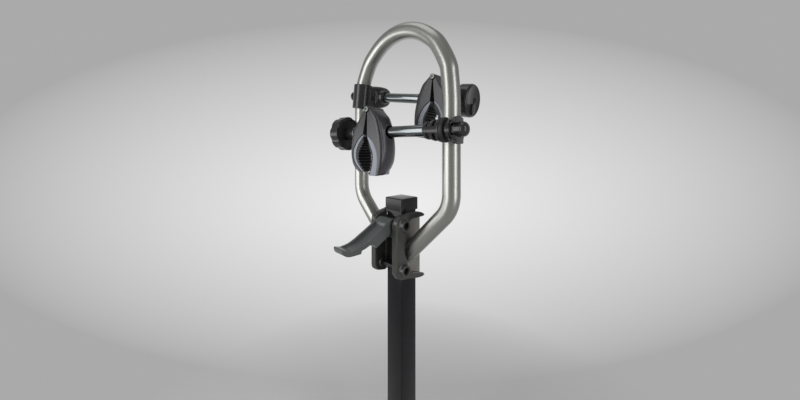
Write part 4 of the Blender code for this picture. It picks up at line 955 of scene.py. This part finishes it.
def jaw_shell(jaw):
    """Jaw moulding: recessed front face, raised lip, a fine groove behind it and the swelling outside."""
    edge = below_pin(jaw["edge"], 6)
    inside = below_pin(jaw["seam"], 5)[::-1] + [(a * MM, PIN_HEIGHT - z * MM) for a, z in jaw["slit"]]
    face = -CLAMP_DEPTH + LIP_RISE
    last = len(edge) - 1

    def station(n, drawn=0.0):
        level = math.sqrt(max(0.0, 1 - (n / CLAMP_DEPTH) ** 2))
        ring = []
        for i, ((a, z), (drawn_a, drawn_z)) in enumerate(zip(edge, inward(edge, drawn))):
            taper = min(1.0, 5 * i / last, 8 * (last - i) / last)
            a, z = a + (drawn_a - a) * taper, z + (drawn_z - z) * taper
            rise = max(n, face) + (n - max(n, face)) * taper
            t = 8 * i / last
            share = math.sin(math.pi * min(1.0, (t + 0.35) / 8.35)) ** 0.7
            lift = jaw["corner"] * max(0.0, (t - 5) / 3) ** 1.5 * max(0.0, n / CLAMP_DEPTH) ** 1.5
            ring.append((jaw["side"] * (a + jaw["bulge"] * level * share), rise, z + lift))
        floor = ring[-1][2] - 0.9 * MM
        ring += [(jaw["side"] * a, max(n, face), max(z, floor + (z - floor) * 0.05)) for a, z in inside]
        return ring

    front = station(-CLAMP_DEPTH, LIP_WIDTH)
    recessed = [(a, face, z) for a, n, z in front]
    stations = [recessed, station(-CLAMP_DEPTH, LIP_WIDTH - 0.5 * MM), station(-CLAMP_DEPTH, 0.7 * MM),
                station(-CLAMP_DEPTH + 0.25 * MM, 0.15 * MM)]
    for turn, drawn in ((14, 0), (20, 0), (21.5, 1.8), (27.5, 1.8), (29, 0)):
        stations.append(station(-CLAMP_DEPTH * math.cos(math.radians(turn)), drawn * MM))
    for turn in range(34, 181, 6):
        stations.append(station(-CLAMP_DEPTH * math.cos(math.radians(min(turn, 178)))))
    return grown(stations)


def knuckle(low, high, side):
    """Hinge knuckle with the web that joins it to its jaw."""
    place = axes((0, low, PIN_HEIGHT), (0, 1, 0), (0, 0, 1))
    ring = [(0, 3.25 * MM), (0, KNUCKLE), (high - low, KNUCKLE), (high - low, 3.25 * MM)]
    left, right = sorted((side * 3.6 * MM, side * 9 * MM))
    web = block((left, low + 0.6 * MM, PIN_HEIGHT - 9 * MM), (right, high - 0.6 * MM, PIN_HEIGHT - 1 * MM))
    return turned(eased(ring, 0.5 * MM, 3, True), place, 48, True), web


def stud_slot():
    """Slot that lets the outer jaw and its lining swing over the stud."""
    radius = STUD_RADIUS + MM
    outline = arc((0, 6.5 * MM), radius, 0, 180, 12) + arc((0, -6.5 * MM), radius, 180, 360, 12)
    return slab(outline, -5 * MM, 60 * MM, DEPTHWISE)


def lining_shape(jaw):
    """Pale lining between a jaw and its pad."""
    seam = inward(below_pin(jaw["seam"], 6), SEAM_GAP)
    seat = below_pin(jaw["seat"], 6)
    return slab([(jaw["side"] * a, z) for a, z in seam + seat[::-1]], -20.5 * MM, 20.5 * MM, ACROSS, 0.8 * MM)


def pad_shape(jaw):
    """Rubber pad with rounded ribs across the clamp."""
    seat = inward(below_pin(jaw["seat"], 6), 0.3 * MM)
    crest = below_pin(jaw["crest"], 30)
    face = []
    for i, (root, top) in enumerate(zip(inward(crest, -RIB_HEIGHT), crest)):
        share = abs(math.sin(math.pi * PAD_RIBS * i / (len(crest) - 1))) ** 0.8
        face.append((root[0] + (top[0] - root[0]) * share, root[1] + (top[1] - root[1]) * share))
    return slab([(jaw["side"] * a, z) for a, z in seat + face[::-1]], -19.5 * MM, 19.5 * MM, ACROSS)


def dress_clamp(arm):
    """The two jaws with their linings, pads and pin, and the stud with its washer and knob."""
    tag = arm["tag"]
    place = clamp_frame(arm)

    def fit(name, bm, finish, node, smooth=32.0):
        piece(name + "_" + tag, put(bm, place), finish, node + "_" + tag, smooth)

    boss = turned([(14 * MM, 0), (14 * MM, 15.4 * MM), (BOSS_END - 2 * MM, 14.6 * MM)]
                  + arc((BOSS_END - 1.2 * MM, 13.4 * MM), 1.2 * MM, 90, 0, 4) + [(BOSS_END, 0)], INWARD, 72)
    tight, wide = ROD_RADIUS + GAP, ROD_RADIUS + 2 * MM
    socket = turned([(19 * MM, 0), (19 * MM, tight), (BOSS_END - 4 * MM, tight), (BOSS_END - 4 * MM, wide),
                     (60 * MM, wide), (60 * MM, 0)], INWARD, 64)
    hole = barrel(-5 * MM, 30 * MM, STUD_RADIUS + GAP, INWARD)
    reach = CLAMP_DEPTH - GAP
    webs = knuckle(-reach, -8 * MM, -1) + knuckle(8 * MM, reach, -1)
    jaw = together(cut(join(jaw_shell(INNER), boss), socket, hole), *webs)
    fit("inner_jaw_look", jaw, shaded_clamp_plastic[tag], "inner_jaw")

    spot = axes((ROCKER_CENTRE, 0, 0), (0, 1, 0), (0, 0, 1))
    rocker = barrel(-13 * MM, 13 * MM, ROCKER_RADIUS, spot, MM, 64)
    jaw = cut(join(jaw_shell(OUTER), rocker), stud_slot())
    jaw = together(jaw, *knuckle(-7.6 * MM, 7.6 * MM, 1))
    fit("outer_jaw_look", jaw, shaded_clamp_plastic[tag], "outer_jaw")

    fit("inner_lining_look", lining_shape(INNER), lining, "inner_liner")
    fit("outer_lining_look", cut(lining_shape(OUTER), stud_slot()), lining, "outer_liner")
    fit("inner_pad_look", pad_shape(INNER), pad_rubber, "inner_pad", 50)
    fit("outer_pad_look", pad_shape(OUTER), pad_rubber, "outer_pad", 50)

    reach = CLAMP_DEPTH + GAP
    rivet = [(-reach - 1.8 * MM, 1.5 * MM)]
    rivet += arc((-reach - 0.9 * MM, KNUCKLE - 0.9 * MM), 0.9 * MM, 180, 90, 5)
    rivet += [(-reach, KNUCKLE), (-reach, 3 * MM)]
    rivet += [(-x, r) for x, r in reversed(rivet)]
    rivet = turned(rivet, axes((0, 0, PIN_HEIGHT), (0, 1, 0), (0, 0, 1)), 48, closed=True)
    fit("hinge_pin_look", rivet, pin_zinc, "hinge_pin")

    start, end = arm["knob"]
    washer = ROCKER_CENTRE + ROCKER_RADIUS + GAP
    hub = washer + WASHER_THICKNESS + GAP
    fit("stud_look", barrel(-18 * MM, end - 8 * MM, STUD_RADIUS, edge=MM), bolt_black, "stud")
    bore, rim = STUD_RADIUS + 0.4 * MM, washer + WASHER_THICKNESS
    ring = [(washer, bore), (washer, WASHER_RADIUS), (rim, WASHER_RADIUS), (rim, bore)]
    fit("washer_look", turned(eased(ring, 1.2 * MM, 4, True), steps=64, closed=True), pin_zinc, "washer")
    fit("knob_look", knob_shape(arm, hub, start, end), knob_plastic, "knob")
    if tag == "a":
        dress_lock(place, end)


def knob_shape(arm, hub, start, end):
    """Drum knob, dished behind and in front. Knob B has shallow flutes round its rim."""
    radius, edge = arm["radius"], arm["edge"]
    bore = STUD_RADIUS + GAP
    rim = eased([(start + 3 * MM, radius - 5.2 * MM), (start, radius - 4 * MM), (start, radius - 0.2 * MM),
                 (start + 0.3 * MM, radius), (end - edge, radius), (end - 0.35 * edge, radius - 0.25 * edge),
                 (end, radius - 0.8 * edge), (end - KNOB_DISH, radius - 1.2 * edge)], 1.6 * MM, 5)
    profile = [(end - 4.5 * MM, 0), (end - 4.5 * MM, bore), (hub, bore), (hub, 11.4 * MM)]
    profile += [(hub + 0.6 * MM, 12 * MM), (start + 3 * MM, 13 * MM)] + rim + [(end - KNOB_DISH, 0)]
    bm = turned(profile, steps=160)
    if arm is ARM_B:
        for vert in bm.verts:
            out = math.hypot(vert.co.y, vert.co.z)
            if out > radius * 0.6:
                angle = math.atan2(vert.co.z, vert.co.y)
                flute = 1.0 - FLUTE_DEPTH * (0.5 - 0.5 * math.cos(FLUTES * angle)) ** 3
                vert.co.y *= flute
                vert.co.z *= flute
    else:
        seat = end - KNOB_DISH
        recess = barrel(seat - 2.6 * MM, seat + 3 * MM, 6.4 * MM, LOCK_SPOT, 0.1 * MM)
        bm = cut(bm, recess)
    return bm


def dress_lock(place, end):
    """Key cylinder in knob A's face and its dust cover, hanging half open."""
    seat = end - KNOB_DISH
    spot = place @ LOCK_SPOT
    core = [(seat - 2.3 * MM, 0), (seat - 2.3 * MM, 6.1 * MM)] + arc((seat, 5.5 * MM), 0.6 * MM, 90, 0, 4)
    core += [(seat + 0.6 * MM, 4.4 * MM), (seat + 0.2 * MM, 4.2 * MM), (seat + 0.2 * MM, 0)]
    keyway = block((seat - 1.6 * MM, -MM, -3.6 * MM), (seat + MM, MM, 3.6 * MM), spot)
    piece("lock_look", cut(turned(core, spot, 64), keyway), lock_steel, "lock_cylinder_a")
    flap = arc((0, 4 * MM), 6 * MM, 0, 180, 20) + arc((0, -5.4 * MM), 5.6 * MM, 180, 360, 20)
    hung = place @ axes((0, 0.5 * MM, -15 * MM), (1, 0, 0), (0, 0, 1)) @ DEPTHWISE
    flap = slab(flap, seat + GAP, seat + 2.6 * MM, hung, 0.8 * MM)
    piece("lock_cover_look", flap, knob_plastic, "lock_cover_a")


dress_mast()
dress_carriage()
dress_hoop()
dress_lever()
dress_collar_a()
dress_collar_b()
dress_rod(ARM_A)
dress_rod(ARM_B)
dress_clamp(ARM_A)
dress_clamp(ARM_B)


# Studio: a pale sweep behind and below, two lamps on the left, a weaker one on the right, a soft one above

UP = Vector((0, 0, 1))
HEART = Vector((0, 0, 0.72))
# Painted pool of light on the sweep: the point it is reckoned from, its drop, how fast it darkens across and
# up, and the greys of the glow and of the floor's base colour from its edge to its middle
PAINTED_POOL_FROM = Vector((0.42, -0.42, 0.70))
PAINTED_POOL_DROP = 0.185
PAINTED_POOL_ACROSS = 0.40
PAINTED_POOL_RISE = 2.5
GLOW_GREYS_IN_PAINTED_POOL = (0.402, 0.86)
FLOOR_GREYS_IN_PAINTED_POOL = (0.69, 0.95)
WORLD_GREY = 0.80
WORLD_STRENGTH = 0.38


def sweep():
    """Floor that curves up into the back wall."""
    bm = bmesh.new()
    line = [(-4.0, 0.0)] + [(1.6 + x, z) for x, z in arc((0.0, 1.0), 1.0, -90, 0, 24)] + [(2.6, 5.0)]
    verts = [bm.verts.new((x, -6.0, z)) for x, z in line]
    edges = [bm.edges.new(pair) for pair in zip(verts, verts[1:])]
    made = bmesh.ops.extrude_edge_only(bm, edges=edges)["geom"]
    bmesh.ops.translate(bm, vec=(0, 12.0, 0), verts=[g for g in made if isinstance(g, bmesh.types.BMVert)])
    obj = as_object(put(bm, axes((0, 0, -0.002), LOOK, UP)), "sweep")
    obj.data.materials.append(sweep_finish().material)
    for face in obj.data.polygons:
        face.use_smooth = True


def lamp(name, spot, size, power):
    """Rectangular lamp that points at the middle of the rack."""
    data = bpy.data.lights.new(name, "AREA")
    data.shape = "RECTANGLE"
    data.size, data.size_y = size
    data.energy = power
    obj = bpy.data.objects.new(name, data)
    scene.collection.objects.link(obj)
    obj.matrix_world = Matrix.Translation(spot) @ (HEART - spot).to_track_quat("-Z", "Y").to_matrix().to_4x4()


def sweep_finish():
    """Pale paint with a painted pool of light, which darkens evenly outward from a point behind the rack.

    Close to the rack the floor is lit and shadowed by the lamps, over a base colour that carries the same
    painted pool. Further out, camera, mirror and transmission rays see floor and wall glow in their pale
    colour with the painted pool.
    """
    made = Finish("sweep_paint_with_painted_pool", roughness=0.9)
    spot = made.node("TexCoord", {}, {}, "Object")

    def along(axis):
        part = made.node("VectorMath", {"operation": "DOT_PRODUCT"}, {0: spot, 1: tuple(axis)}, "Value")
        return part - PAINTED_POOL_FROM.dot(axis)

    # Painted pool of light: its share is 1 at the middle and falls to 0 at its edge.
    ahead = along(LOOK).at_least(0.2)
    across = along(RIGHT) / ahead
    rise = along(UP) / ahead + PAINTED_POOL_DROP
    reach = (across * across * PAINTED_POOL_ACROSS + rise * rise * PAINTED_POOL_RISE) ** 0.5
    share = (1.0 - reach).clipped() ** 0.8
    made.fill(made.shader, {"Base Color": made.mix(share, *((grey, grey, grey) for grey in FLOOR_GREYS_IN_PAINTED_POOL))})
    glow = made.tree.nodes.new("ShaderNodeEmission")
    made.fill(glow, {"Color": made.mix(share, *((grey, grey, grey) for grey in GLOW_GREYS_IN_PAINTED_POOL))})
    path = made.tree.nodes.new("ShaderNodeLightPath")
    seen, mirrored, through = (Sum(made.tree, path.outputs[f"Is {kind} Ray"])
                               for kind in ("Camera", "Glossy", "Transmission"))
    seen = (seen + mirrored + through).clipped()
    away = made.node("VectorMath", {"operation": "LENGTH"}, {0: spot}, "Value")
    blend = made.tree.nodes.new("ShaderNodeMixShader")
    made.fill(blend, {0: seen * away.above(0.25, 0.75)})
    made.tree.links.new(made.shader.outputs[0], blend.inputs[1])
    made.tree.links.new(glow.outputs[0], blend.inputs[2])
    made.tree.links.new(blend.outputs[0], made.tree.nodes["Material Output"].inputs["Surface"])
    return made


sweep()
lamp("left_strip", HEART - RIGHT * 1.25 - LOOK * 0.72 + UP * 0.1, (0.62, 1.5), 9.5)
lamp("left_box", HEART - RIGHT * 1.2 - UP * 0.1, (0.8, 0.4), 2.2)
lamp("right_strip", HEART + RIGHT * 0.98 - LOOK * 1.05 + UP * 0.1, (0.50, 1.5), 7)
lamp("top_lamp", HEART - RIGHT * 0.3 + UP * 1.5, (1.0, 1.0), 3)

world = bpy.data.worlds.new("studio")
world.use_nodes = True
sky = world.node_tree.nodes["Background"]
sky.inputs["Color"].default_value = (WORLD_GREY, WORLD_GREY, WORLD_GREY, 1.0)
sky.inputs["Strength"].default_value = WORLD_STRENGTH
scene.world = world
